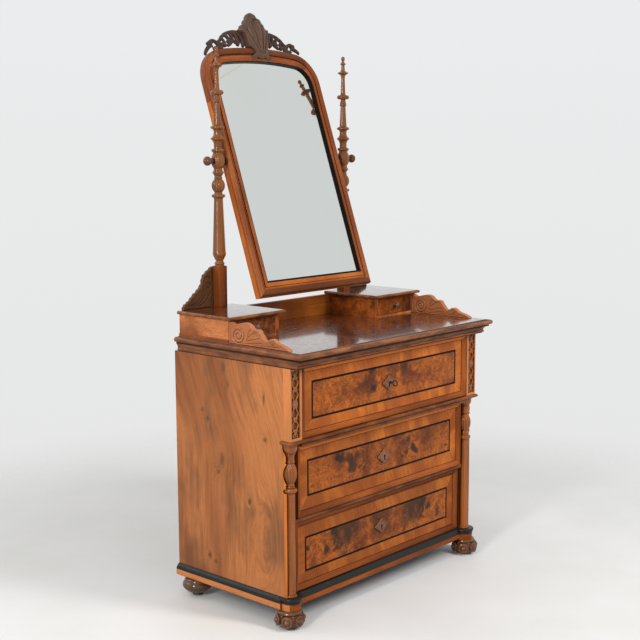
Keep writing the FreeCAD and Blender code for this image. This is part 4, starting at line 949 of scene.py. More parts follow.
def stroke(path, to_space, sides):
    """A closed, swept scroll. The path's columns are u, v, half width and half depth."""
    path = smooth_path(path, 1.6)
    along = np.gradient(path[:, :2], axis=0)
    along /= np.maximum(np.linalg.norm(along, axis=1), 1e-9)[:, None]
    out = np.column_stack([-along[:, 1], along[:, 0]])
    points = []
    for (u, v, half, deep), side in zip(path, out):
        for index in range(sides):
            angle = 2 * math.pi * index / sides
            across = math.copysign(abs(math.cos(angle)) ** 0.8, math.cos(angle)) * half
            lift = math.copysign(abs(math.sin(angle)) ** 0.8, math.sin(angle)) * deep
            points.append(to_space(u + side[0] * across, v + side[1] * across, lift))
    faces = []
    for ring in range(len(path) - 1):
        for index in range(sides):
            following = (index + 1) % sides
            a = ring * sides
            faces.append((a + index, a + following, a + sides + following, a + sides + index))
    faces.append(tuple(range(sides)))
    last = (len(path) - 1) * sides
    faces.append(tuple(range(last + sides - 1, last - 1, -1)))
    piece = from_points("stroke", points, [], faces)
    edit(piece, chosen=True)
    return close_edit(piece)


def grown_together(name, pieces, voxel):
    """Joins strokes and makes one carved skin of them."""
    piece = join(name, pieces)
    modify(piece, "REMESH", mode="VOXEL", voxel_size=voxel)
    modify(piece, "SMOOTH", factor=0.5, iterations=3)
    bpy.ops.object.shade_smooth()
    return piece


# ---------------------------------------------------------------- pieces

class PieceOperator:
    bl_options = {"REGISTER", "UNDO"}

    def execute(self, context):
        self.make()
        return {"FINISHED"}


class DRESSER_OT_plain_boards(PieceOperator, bpy.types.Operator):
    """Give the hidden and inner boards, trays, locks and glass their finishes"""

    bl_idname = "dresser.plain_boards"
    bl_label = "Plain boards"

    def make(self):
        nodes = frame["nodes"]
        for node, grain in (("top_bearers", "X"), ("drawer_runners", "Y"), ("mirror_backboard", "Z")):
            paint(nodes[node], deal(grain))
        planks = finish("softwood_planks", wood, deeper(colours().deal, 0.66), (0.16, 0.085, 0.04, 1.0),
                        "Z", 0.9, figure=0.5, lines=20, rough=0.6, blocks=0.16)
        refinish("back_boards", "case", "softwood", [planks], 0.0016)
        # Painted shadow: the rails and stiles behind the drawers are dark so that the gaps read as shade.
        for node, grain in (("mid_rail", "X"), ("base_board", "X"), ("corner_stiles", "Z")):
            paint(nodes[node], shadow_wood(grain))
        for number in LONG_DRAWERS:
            paint(nodes["drawer_tray_%d" % number], deal("Y"))
            paint(nodes["lock_case_%d" % number], iron())
            paint(nodes["lock_bolt_%d" % number], iron())
        for side, _ in LEFT_RIGHT:
            paint(nodes["small_drawer_tray_" + side], deal("Y"))
        paint(nodes["mirror_slip"], stringing())
        paint(nodes["mirror_glass"], finish("silvered_glass", silvered_glass, colours().glass))


# Heights of the cornice's fillets that are painted dark as shadow, in metres: the lower one's top, the upper
# one's edges.
LOWER_FILLET, UPPER_FILLET = 0.8532, (0.8766, 0.8832)


class DRESSER_OT_case_mouldings(PieceOperator, bpy.types.Operator):
    """Finish the cornice, mouldings, rails, plinth and top boards"""

    bl_idname = "dresser.case_mouldings"
    bl_label = "Case mouldings"

    def make(self):
        soft = sizes().edge_softness
        c = colours()
        even = {"figure": 0.25, "lines": 9, "cloud": 9}
        plinth = (finish("plinth_walnut_X", wood, deeper(c.moulding_pale, 0.98), c.moulding_dark, "X",
                         rough=0.30, shine=0.06, **even),
                  finish("plinth_walnut_Y", wood, deeper(c.plinth, 0.8), c.veneer_pale, "Y", **even))
        rails = [finish("rail_walnut_" + grain, wood, deeper(c.cap_pale, 0.9), deeper(c.cap_dark, 0.88),
                        grain, 1.7, figure=0.2, lines=7, cloud=30, shine=0.14) for grain in "XY"]
        cornice = (cap("X"), cap("Y"), shadow_wood("X"))
        top = finish("polished_top", polished_top, c.top)
        back_rail = finish("back_rail_walnut", wood, c.banding_pale, c.moulding_dark, "X", 3.0, lines=8,
                           cloud=6)
        ebony = finish("ebonised_wood", ebonised, c.ebony)

        def at_side(centre, normal):
            return abs(centre.x) > 0.5002 and abs(normal.y) < 0.6

        def in_shadow_fillet(centre, normal):
            low, high = UPPER_FILLET
            return abs(normal.z) < 0.5 and (low < centre.z < high or centre.z < LOWER_FILLET)

        side = [(1, at_side)]
        # The fillets take the near-black walnut as painted shadow.
        refinish("cornice", "case", "walnut_dark", cornice, 0.0, side + [(2, in_shadow_fillet)])
        refinish("mid_moulding", "case", "walnut_dark", rails, 0.0, side)
        refinish("lower_rail", "case", "walnut_dark", rails, 0.0004, side)
        refinish("plinth_frame", "case", "walnut", plinth, soft, side)
        refinish("base_moulding", "case", "ebonised", [ebony], 0.0006)
        refinish("top_board", "case", "polished_top", [top], 0.0008)
        refinish("box_boards", "case", "walnut_dark", [cap("X"), top], 0.0, [(1, lambda c, n: n.z > 0.99)])
        refinish("back_rail", "case", "walnut", [back_rail], soft)


class DRESSER_OT_columns(PieceOperator, bpy.types.Operator):
    """Turn and carve the two corner columns, and veneer the sides round them"""

    bl_idname = "dresser.columns"
    bl_label = "Columns and sides"

    def make(self):
        low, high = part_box("column_right")
        bottom, top = low.z / MM, high.z / MM
        self.centre = (low + high) / 2
        shaft = top - bottom - 166.0
        egg = 66.0
        steps = [(3.5, 18.3, 1.8), (3.0, 16.6, 1.2), (0.5, 15.6), (shaft, 15.6), (0.0, 16.6)]
        steps += [(1.0, 18.6, 0.3), (14.0, 18.6, 3.6), (1.0, 12.6), (5.0, 13.8, 1.8), (0.8, 11.4)]
        steps += [(5.0, 13.4, 1.9), (3.2, 11.6, -0.5), (egg, 11.8, 10.4), (2.0, 11.4), (6.5, 14.4, 2.4)]
        steps += [(0.8, 13.4), (19.0, 14.2, -0.5), (0.6, 15.8), (2.6, 16.2, 1.0), (0.5, 15.2)]
        used = sum(step[0] for step in steps)
        steps += [(top - bottom - used - 6.0, 23.2, 3.0), (0.5, 24.0), (5.5, 24.0, 0.8)]
        profile = profile_of(bottom, 17.0, steps)
        column = spun("finished_column_right", profile, 96, 4.0)
        shaft_low = bottom + 7.0
        shaft_high = shaft_low + shaft
        egg_low = shaft_high + 30.0
        reshape(column, lobed(shaft_low, shaft_high, 10, 1.3, 0.7))
        reshape(column, lobed(egg_low, egg_low + egg, sizes().melon_lobes, 3.4, 0.6))
        column.data.transform(Matrix.Translation((self.centre.x, self.centre.y, 0)))
        paint(column, finish("turned_walnut", turned_wood, colours().turned, rubbed=0.8))
        hand_over(column, "case", "walnut_dark", "column_right")
        left = mirrored(column, "finished_column_left")
        hand_over(left, "case", "walnut_dark", "column_left")
        self.sides([(r, z) for r, z in profile if z > shaft_high - 1.0])

    def sides(self, head):
        """Each side's front edge is scalloped round the carved head of its column."""
        c = colours()
        veneer = finish("side_veneer", flame_veneer, c.veneer_pale, c.veneer_dark, c.veneer_smoke)
        lipping = finish("side_lipping", wood, c.banding_pale, c.moulding_pale, "Z", 2.0, figure=0.2,
                         lines=6, cloud=6)
        for side, sign in LEFT_RIGHT:
            node = "side_panel_" + side
            piece = refined(node, "finished_" + node)
            corners = [at(sign * x, y, z) for x, y, z in ((480.5, 22.0, 565.9), (499.95, 52.0, 604.0))]
            filler = block("filler", *(Vector(pick(v) for v in zip(*corners)) for pick in (min, max)))
            for operation, tool in (("UNION", filler), ("DIFFERENCE", self.scallop(head, sign))):
                combine(piece, operation, tool)
                bpy.data.objects.remove(tool)
            edit(piece, chosen=True)
            bpy.ops.mesh.bisect(plane_co=at(0, 31.2, 0), plane_no=(0, 1, 0))
            bpy.ops.object.mode_set(mode="OBJECT")
            paint(piece, veneer, lipping)
            paint_faces(piece, 1, lambda c, n: c.y < FRONT + 0.0311)
            shade(piece)
            hand_over(piece, "case", "walnut", node)

    def scallop(self, head, sign):
        """The head's outline with 1 mm of room, drawn outwards from the case's corner."""
        outline = [(r + 1.0, z) for r, z in head if r > 1.0]
        outline = [(0.0, outline[0][1])] + outline + [(0.0, outline[-1][1] + 0.6)]
        loop = outline + [(-r, z) for r, z in outline[::-1] if r > 0]
        across = Vector((sign, 1, 0)).normalized() * MM
        start = Vector((sign * (self.centre.x - 0.02), self.centre.y + 0.02, 0))
        piece = from_points("scallop", [start + across * r + Vector((0, 0, z * MM)) for r, z in loop], [],
                            [tuple(range(len(loop)))])
        edit(piece, chosen=True)
        bpy.ops.mesh.extrude_region_move(TRANSFORM_OT_translate={"value": Vector((sign, -1, 0)) * 0.06})
        return close_edit(piece)


class DRESSER_OT_feet(PieceOperator, bpy.types.Operator):
    """Turn the bun feet and carve the rosettes round the front pair"""

    bl_idname = "dresser.feet"
    bl_label = "Bun feet"

    def make(self):
        low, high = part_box("front_feet")
        reach = 0.482
        steps = [(2.0, 26.0, 0.8), (6.0, 33.0, 1.6), (14.0, 38.0, 1.6), (16.0, 38.0, 1.0)]
        steps += [(8.0, 33.0, 1.2), (1.0, 31.5), (1.5, 36.0), (6.5, 38.0, 2.2), (4.0, 33.5, 1.0), (1.0, 32.0)]
        foot = spun("foot", profile_of(0.0, 15.0, steps), 96, 4.0)
        rosette = [(6.0, 17.2, 1.5), (5.0, 14.6, 2.6), (0.6, 12.2), (-1.6, 11.0, -0.4), (0.6, 9.8)]
        rosette += [swelling(3.6, 9.8, 8.2), dome(5.4, 8.2)]
        boss = spun("boss", profile_of(0.0, 14.0, rosette), 48, 2.5)
        bead = spun("bead", profile_of(0.0, 5.2, [swelling(4.0, 5.2, 4.8), dome(4.0, 4.8)]), 24, 3.0)
        parts = [foot]
        count = sizes().foot_rosettes
        ornaments = ((boss, 0.5, 84, 0.0275), (bead, 0.0, 62, 0.0430))
        for index in range(count):
            for ornament, step, tilt, height in ornaments:
                angle = 2 * math.pi * (index + step) / count
                turn = Matrix.Rotation(angle, 4, "Z") @ Matrix.Rotation(math.radians(tilt), 4, "Y")
                out = Vector((math.cos(angle), math.sin(angle), 0)) * 0.0345
                place = Matrix.Translation(out + Vector((0, 0, height)))
                parts.append(moved_copy(ornament, place @ turn, ornament.name))
        foot = join("foot", parts)
        centre_y = (low.y + high.y) / 2
        pair = [moved_copy(foot, Matrix.Translation((sign * reach, centre_y, 0)), "foot")
                for _, sign in LEFT_RIGHT]
        for spare in (boss, bead, foot):
            bpy.data.objects.remove(spare)
        front = join("finished_front_feet", pair)
        paint(front, finish("foot_walnut", turned_wood, colours().foot))
        hand_over(front, "case", "walnut_dark", "front_feet")
        plain = finish("rear_foot_walnut", turned_wood, (0.125, 0.052, 0.020, 1.0))
        refinish("rear_feet", "case", "walnut_dark", [plain])
        refinish("rear_glides", "case", "iron", [iron()])


class DRESSER_OT_pilasters(PieceOperator, bpy.types.Operator):
    """Finish the pilasters and carve their pierced fretwork"""

    bl_idname = "dresser.pilasters"
    bl_label = "Pilasters and fretwork"

    def make(self):
        c = colours()
        figured = {"grain": "Z", "seed": 4.0, "lines": 9, "cloud": 8}
        face = finish("pilaster_walnut", wood, c.pilaster, c.veneer_pale, **figured)
        outer = finish("pilaster_side_walnut", wood, deeper(c.plinth, 0.88), c.veneer_pale, **figured)
        recess = finish("recess_walnut", wood, deeper(c.banding_pale, 0.6), deeper(c.banding_pale, 0.3),
                        "Z", 4.0)
        # The outer sides, the strips beside the drawers and the ground behind the fretwork, which is painted
        # darker as shade.
        zones = [(3, lambda c, n: abs(c.x) > 0.4995),
                 (1, lambda c, n: abs(c.x) < 0.4572 and n.y < -0.5),
                 (2, lambda c, n: FRONT + 0.001 < c.y < FRONT + 0.0095)]
        refinish("pilasters", "case", "walnut", [face, moulding("Z"), recess, outer], 0.0007, zones)
        low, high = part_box("fretwork")
        centre_x, half = 475.5, 17.5
        bottom, top = low.z / MM + 0.5, high.z / MM - 0.5
        middle = (bottom + top) / 2
        ring = 10.0
        link = (top - middle - ring) / 2.5
        depth = 4.2
        parts = []

        def to_space(u, v, w):
            return at(u, 5.6 - w, v)

        def add(*points):
            """Adds a strand and its three mirror images about the fret's middle."""
            for across in (1, -1):
                for way in (1, -1):
                    strand = [(centre_x + across * u, middle + way * v, *size) for u, v, *size in points]
                    parts.append(stroke(strand, to_space, 10))

        for number in (0.5, 1.5):
            centre = ring + link * number
            reach = link / 2
            add((1.0, centre - reach - 3, 2.4, depth), (7, centre - reach * 0.66, 2.7, depth),
                (13.4, centre - reach * 0.12, 2.8, depth), (13.4, centre + reach * 0.12, 2.8, depth),
                (7, centre + reach * 0.66, 2.7, depth), (1.0, centre + reach + 3, 2.4, depth))
        for number in (1, 2):
            knot = ring + link * number
            add((0, knot - 8, 2.2, depth + 1), (3.5, knot - 3, 2.8, depth + 1.2),
                (3.0, knot + 4, 2.6, depth + 1), (0, knot + 8, 2.0, depth))
            add((3, knot, 2.4, depth), (9, knot - 3.5, 2.2, depth), (14.5, knot, 2.0, depth - 1))
        end = ring + link * 2
        add((1.0, end + 5, 2.4, depth), (8, end + link * 0.24, 2.6, depth),
            (10.5, end + link * 0.38, 2.6, depth), (5.0, end + link * 0.47, 2.8, depth + 1))
        add((0, end + 4, 2.6, depth), (0, end + link * 0.26, 3.2, depth + 1.2),
            (0, end + link * 0.46, 2.6, depth))
        add((0, 0, 4.0, depth + 1.2), (5, 3, 3.4, depth + 0.8), (10, 8, 2.8, depth), (3, 13, 2.6, depth))
        add((0, 2, 5.0, depth + 1), (13, 0, 3.0, depth))
        fret = grown_together("fret", parts, 0.0009)
        for vertex in fret.data.vertices:
            vertex.co.y = min(vertex.co.y, FRONT + 0.0088)
            vertex.co.z = min(max(vertex.co.z, bottom * MM), top * MM)
            vertex.co.x = min(max(vertex.co.x, (centre_x - half) * MM), (centre_x + half) * MM)
        pair = join("finished_fretwork", [fret, mirrored(fret, "fret_left")])
        paint(pair, finish("fretwork_walnut", carved_wood, (0.30, 0.115, 0.045, 1.0), "Z", 0.32, 0.30,
                           rubbed=0.3))
        hand_over(pair, "case", "walnut", "fretwork")


# Moulding round a drawer front: each step is (inwards, forwards) in mm.
FRAME_STEPS = ((1.0, 1.6), (1.6, 0.9), (3.4, 0.3), (1.2, -0.9), (0.5, -0.8), (0.9, 0.0), (0.5, 0.7),
               (3.5, -2.3), (3.6, -2.6), (2.6, -1.4))
LONG_DRAWERS = {
    # number: stringing's lowest and highest point, burl seed, how much is smoky,
    # knots at (x, z, radius, darkness)
    1: (670.5, 796.8, 0.0, 0.64, (
        (-83, 786, 11, 0.85), (-83, 725, 17, 0.90), (-92, 732, 34, 0.45), (-138, 740, 28, 0.30),
        (20, 764, 30, 0.42), (88, 780, 18, 0.60), (76, 762, 22, 0.30), (-360, 780, 30, 0.30),
        (-250, 745, 40, 0.18), (240, 728, 30, 0.20), (362, 784, 26, 0.30), (300, 740, 34, 0.15),
        (-330, 725, 90, -0.60), (310, 740, 90, -0.60))),
    2: (412.0, 535.0, 3.1, 0.60, (
        (-238, 515, 13, 0.92), (-222, 508, 14, 0.85), (-204, 494, 12, 0.60), (-168, 470, 30, 0.85),
        (-182, 494, 20, 0.60), (-90, 522, 20, 0.55), (-100, 490, 24, 0.30), (88, 524, 17, 0.60),
        (124, 460, 17, 0.55), (108, 492, 17, 0.45), (166, 478, 13, 0.92), (174, 462, 13, 0.90),
        (184, 452, 10, 0.80), (0, 475, 70, 0.22), (250, 480, 34, 0.25), (-320, 470, 80, -0.60),
        (-360, 500, 40, -0.60), (310, 480, 50, -0.30))),
    3: (155.0, 274.0, 5.7, 0.53, (
        (-340, 215, 88, -0.85), (340, 220, 84, -0.85), (-60, 158, 34, -0.75), (20, 158, 34, -0.80),
        (100, 160, 34, -0.75), (170, 160, 30, -0.50),
        (-200, 230, 54, 0.62), (-150, 240, 48, 0.62), (-225, 268, 34, 0.55), (196, 240, 52, 0.72),
        (150, 226, 44, 0.55), (226, 262, 34, 0.60), (0, 222, 58, 0.50), (-42, 250, 26, 0.45),
        (48, 248, 26, 0.40), (-373, 230, 10, 0.90), (-279, 203, 16, 0.90), (-290, 226, 12, 0.55),
        (-346, 178, 22, 0.45), (272, 220, 13, 0.90), (276, 240, 14, 0.40), (337, 194, 18, 0.80),
        (330, 218, 13, 0.45))),
}
# Painted shade: how dark each drawer's bands are made, darker on the lower drawers as if less light reached
# them.
BAND_SHADE_SHARES = {1: 1.0, 2: 0.86, 3: 0.78}


class DRESSER_OT_long_drawers(PieceOperator, bpy.types.Operator):
    """Model the moulded, banded and burl-veneered fronts of the long drawers"""

    bl_idname = "dresser.long_drawers"
    bl_label = "Long drawer fronts"

    def make(self):
        for number in LONG_DRAWERS:
            self.front(number)

    def front(self, number):
        node = "drawer_front_%d" % number
        low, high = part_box(node)
        face_y = low.y + 11.0 * MM
        board = block("finished_" + node, Vector((low.x, face_y - 0.0078, low.z)), high)

        def forward(centre, normal):
            return normal.y < -0.99 and abs(centre.x) < 0.1

        edit(board)
        choose_faces(board, forward)
        for inwards, forwards in FRAME_STEPS:
            bpy.ops.mesh.inset(thickness=inwards * MM, depth=forwards * MM, use_even_offset=True)
        ring = bmesh.from_edit_mesh(board.data)
        panel = next(face for face in ring.faces if face.select)
        shift = face_y + 0.0004 - panel.calc_center_median().y
        for vertex in panel.verts:
            vertex.co.y += shift
        bmesh.update_edit_mesh(board.data)
        s = sizes()
        bpy.ops.mesh.inset(thickness=s.quirk_shade_width, depth=-0.0009)
        bpy.ops.mesh.inset(thickness=0.0002, depth=0.0005)
        bottom, top = (edge * MM for edge in LONG_DRAWERS[number][:2])
        self.inner_rectangle(board, s.stringing_reach, bottom, top)
        bpy.ops.mesh.inset(thickness=s.stringing_width, depth=0.0)
        bpy.ops.object.mode_set(mode="OBJECT")
        self.finish_front(board, number, low, high, face_y, bottom, top)
        shade(board, 28)
        middle = (low.z + high.z) / 2
        cutter = self.keyhole(middle, low.y, high.y)
        lozenge = self.escutcheon("finished_escutcheon_%d" % number, middle, face_y)
        for piece in (board, lozenge):
            combine(piece, "DIFFERENCE", cutter)
        bpy.data.objects.remove(cutter)
        wooden = finish("escutcheon_wood", carved_wood, (0.26, 0.105, 0.055, 1.0), "X", 0.4, 0.25,
                        recess=0.9)
        paint(lozenge, wooden, stringing())
        # Painted shade: the keyhole's walls in the board and in the lozenge are painted black.
        for piece, black in ((board, 4), (lozenge, 1)):
            paint_faces(piece, black, lambda c, n: abs(n.y) < 0.3 and abs(c.x) < 0.005
                        and -0.016 < c.z - middle < 0.005)
        paint_faces(lozenge, 1, lambda c, n: abs(n.y) < 0.25)
        body = "drawer_%d" % number
        hand_over(board, body, "burl", node)
        hand_over(lozenge, body, "walnut_dark")

    def inner_rectangle(self, board, reach, bottom, top):
        bpy.ops.mesh.inset(thickness=0.02, depth=0.0)
        mesh = bmesh.from_edit_mesh(board.data)
        chosen = next(face for face in mesh.faces if face.select)
        middle = chosen.calc_center_median().z
        for vertex in chosen.verts:
            vertex.co.x = math.copysign(reach, vertex.co.x)
            vertex.co.z = top if vertex.co.z > middle else bottom
        bmesh.update_edit_mesh(board.data)

    def finish_front(self, board, drawer, low, high, face_y, bottom, top):
        c = colours()
        _, _, seed, smoky, eyes = LONG_DRAWERS[drawer]
        veneer = finish("drawer_burl_%d" % drawer, burl, c.burl_pale, c.burl_middle, c.burl_smoke, seed,
                        eyes, smoky)
        flat_moulding = moulding("X")
        # Painted shade: drawer 3's flat moulding is a darker copy of the moulding.
        if drawer == 3:
            flat_moulding = finish("shaded_moulding", wood, deeper(c.moulding_pale, 0.7),
                                   deeper(c.moulding_dark, 0.7), "X", shine=0.12)
        # Painted light: the top moulding of drawers 1 and 2 takes this paler copy, as if lit from the front.
        lit_moulding = finish("lit_moulding", wood, deeper(c.banding_pale, 1.35), c.banding_pale, "X", 5.0,
                              shine=0.12)
        share = BAND_SHADE_SHARES[drawer]
        paint(board, flat_moulding, moulding("Z"), banding("Z", share), banding("X", share), stringing(),
              veneer, lit_moulding)
        flat, upright, flat_band, upright_band, black, burled, lit = range(7)
        middle = (low.z + high.z) / 2
        half = (high.z - low.z) / 2
        reach, width = sizes().stringing_reach, sizes().stringing_width
        frame_edge = sum(step[0] for step in FRAME_STEPS) * MM

        for polygon in board.data.polygons:
            x, y, z = polygon.center
            from_side = high.x - abs(x)
            from_end = half - abs(z - middle)
            from_edge = min(from_side, from_end)
            at_side = from_side < from_end
            number = upright if at_side else flat
            # Painted light on the top moulding of the upper drawers.
            if not at_side and z > middle and drawer < 3:
                number = lit
            # Painted shade: the front's outer edge faces are painted black so that the gaps between drawers
            # read dark.
            if from_edge < 0.0011 and y < face_y + 0.004:
                number = black
            if polygon.normal.y < -0.3 and y > face_y - 0.002 and from_edge > frame_edge - 1e-4:
                number = upright_band if at_side else flat_band
                if abs(x) < reach and bottom < z < top:
                    number = black
                if abs(x) < reach - width and bottom + width < z < top - width:
                    number = burled
                # Painted shade: the quirk is painted black.
                if from_edge < frame_edge + sizes().quirk_shade_width:
                    number = black
            polygon.material_index = number

    def keyhole(self, height, front, back):
        nothing_selected()
        bpy.ops.mesh.primitive_cylinder_add(vertices=24, radius=0.0044, depth=back - front,
                                            location=(0, (front + back) / 2 - 0.004, height),
                                            rotation=(math.pi / 2, 0, 0))
        round_part = bpy.context.object
        bpy.ops.object.transform_apply(location=True, rotation=True, scale=True)
        slot = block("slot", Vector((-0.0026, front - 0.004, height - 0.0145)),
                     Vector((0.0026, back - 0.004, height)))
        combine(round_part, "UNION", slot)
        bpy.data.objects.remove(slot)
        return round_part

    def escutcheon(self, name, height, face_y):
        """A lozenge with lobed corners and a raised rim."""
        quarter = [(35, 0), (32.5, 4.4), (26.5, 6.4), (22, 10.2), (18, 14.0), (12.5, 15.6), (9.2, 18.8),
                   (7.4, 22.2), (3.4, 24.2)]
        right = quarter + [(0, 24.4)] + [(-u, v) for u, v in quarter[:0:-1]]
        outline = right + [(-35, 0)] + [(u, -v) for u, v in right[::-1][1:-1]]
        outline = [tuple(p) for p in smooth_path(outline + outline[:1], 1.2)[:-1, :2]]

        def carved_face(points, gap):
            return 5.4 + rounded_edge(gap, 2.2, 3.0) - 1.4 * np.exp(-((gap - 4.0) / 1.0) ** 2)

        def to_space(u, v, w):
            return Vector((u * MM, face_y - w * MM, height + v * MM))

        return carved_plate(name, outline, 1.1, carved_face, -0.2, to_space)


class DRESSER_OT_small_boxes(PieceOperator, bpy.types.Operator):
    """Veneer the small boxes and model their drawer fronts and knobs"""

    bl_idname = "dresser.small_boxes"
    bl_label = "Small boxes"

    def make(self):
        c = colours()
        veneer = finish("box_veneer", wood, c.plinth, c.veneer_dark, "Y", 5.0, cloud=7, slant=0.6)
        woods = (veneer, small_burl("box_side_burl", 8.0), moulding("Y"), deal("X"))
        for side, sign in LEFT_RIGHT:
            # Burl on the side that faces the middle and on its front edge, a moulding outside
            # and softwood behind.
            zones = [(1, lambda c, n: n.x * sign < -0.9 and abs(c.x) < 0.26),
                     (1, lambda c, n: n.y < -0.9 and abs(c.x) < 0.272),
                     (2, lambda c, n: abs(c.x) > 0.4925),
                     (3, lambda c, n: n.y > 0.9)]
            refinish("box_carcass_" + side, "case", "walnut", woods, 0.0, zones)
            self.drawer(side)

    def drawer(self, side):
        node = "small_drawer_front_" + side
        low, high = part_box(node)
        tray_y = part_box("small_drawer_tray_" + side)[0].y
        face_y = tray_y - 0.014
        board = block("finished_" + node, Vector((low.x, face_y, low.z)), Vector((high.x, tray_y, high.z)))
        edit(board)
        choose_faces(board, lambda c, n: n.y < -0.99)
        bpy.ops.mesh.inset(thickness=0.0012, depth=0.0009)
        bpy.ops.mesh.inset(thickness=0.0016, depth=0.0)
        bpy.ops.mesh.inset(thickness=0.0006, depth=-0.0010)
        bpy.ops.object.mode_set(mode="OBJECT")
        paint(board, moulding("X"), small_burl("small_drawer_burl", 11.0))
        paint_faces(board, 1, lambda c, n: n.y < -0.99 and abs(c.x - (low.x + high.x) / 2) < 0.05)
        soften(board, 0.0003, 1)
        steps = [(3.0, 5.0, 1.0), (1.5, 3.6), (5.0, 3.2, -0.8), (1.0, 6.4), (0.8, 8.4, 0.4)]
        steps += [swelling(4.0, 8.4, 8.9), swelling(3.2, 8.9, 6.0), dome(1.8, 6.0)]
        knob = spun("finished_small_knob_" + side, profile_of(0.0, 5.4, steps), 40, 3.0)
        middle = Vector(((low.x + high.x) / 2, face_y - 0.0002, (low.z + high.z) / 2))
        knob.data.transform(Matrix.Translation(middle) @ Matrix.Rotation(math.pi / 2, 4, "X"))
        paint(knob, finish("knob_horn", carved_wood, (0.12, 0.095, 0.075, 1.0), "Z", 0.25, 0.5))
        hand_over(board, "small_drawer_" + side, "walnut", node)
        hand_over(knob, "small_drawer_" + side, "walnut_dark")


VOLUTE_OUTLINE = [
    (283, 902.2), (283, 973), (272, 971), (258, 965), (246, 966.5), (229, 971), (212, 974.5), (196, 974),
    (184, 969.5), (177, 962), (170, 957.5), (160, 957), (149, 958), (141, 954), (136, 945), (129, 937),
    (121, 928), (112, 923.5), (104, 927), (97, 932), (88, 934.5), (78, 933), (70, 928), (62, 922),
    (52, 919), (40, 916.5), (26, 912), (15, 908), (10.5, 902.2),
]
VOLUTE_EYE = (240, 931)


class DRESSER_OT_volutes(PieceOperator, bpy.types.Operator):
    """Carve the scrolled brackets in front of the small boxes"""

    bl_idname = "dresser.volutes"
    bl_label = "Scrolled brackets"

    def make(self):
        depth = sizes().groove_depth / MM
        big = spiral(*VOLUTE_EYE, 4.0, 32.0, 75, 2.35)
        small = spiral(86, 920.5, 2.2, 12.0, 40, 1.7)
        leaf_lines = lines_through(
            [(206, 912), (192, 930), (176, 941), (156, 948), (146, 946)],
            [(206, 911), (188, 919), (168, 924), (148, 929), (134, 931)],
            [(200, 907), (176, 911), (150, 914), (124, 915)],
            [(196, 925), (194, 940), (186, 952), (176, 955)],
            [(172, 943), (168, 950), (160, 953)],
            [(110, 907), (100, 909), (74, 909), (52, 911), (30, 907)],
            [(272, 904), (274, 930), (276, 958)],
        )
        dots = [(182, 933), (168, 934), (155, 937), (170, 917), (154, 920), (140, 922)]

        def sunk(points, centre, width):
            """1 at a centre, fading to 0 over a width."""
            away = np.hypot(points[:, 0] - centre[0], points[:, 1] - centre[1])
            return np.exp(-(away / width) ** 2)

        def face(points, gap):
            height = 9.0 + rounded_edge(gap, 3.0, 1.9)
            height = height + incised(points, [big], 2.1, depth * 1.15) + incised(points, [small], 1.4, depth)
            height = height + incised(points, leaf_lines, 1.5, depth * 0.8)
            height = height - 0.9 * np.exp(-((gap - 5.0) / 1.1) ** 2)
            for dot in dots:
                height = height - 1.3 * sunk(points, dot, 1.5)
            return np.minimum(height + 1.0 * sunk(points, VOLUTE_EYE, 3.2), 9.0)

        def to_space(u, v, w):
            return at(483.0 + w, u, v)

        piece = carved_plate("volute_right", VOLUTE_OUTLINE, 1.25, face,
                             lambda points, gap: -face(points, gap), to_space)
        pair = join("finished_volute_brackets", [piece, mirrored(piece, "volute_left")])
        paint(pair, finish("carved_walnut_Y", carved_wood, colours().carved, "Y", 0.40, 0.25,
                           recess=0.85, rubbed=0.25))
        hand_over(pair, "case", "walnut", "volute_brackets")


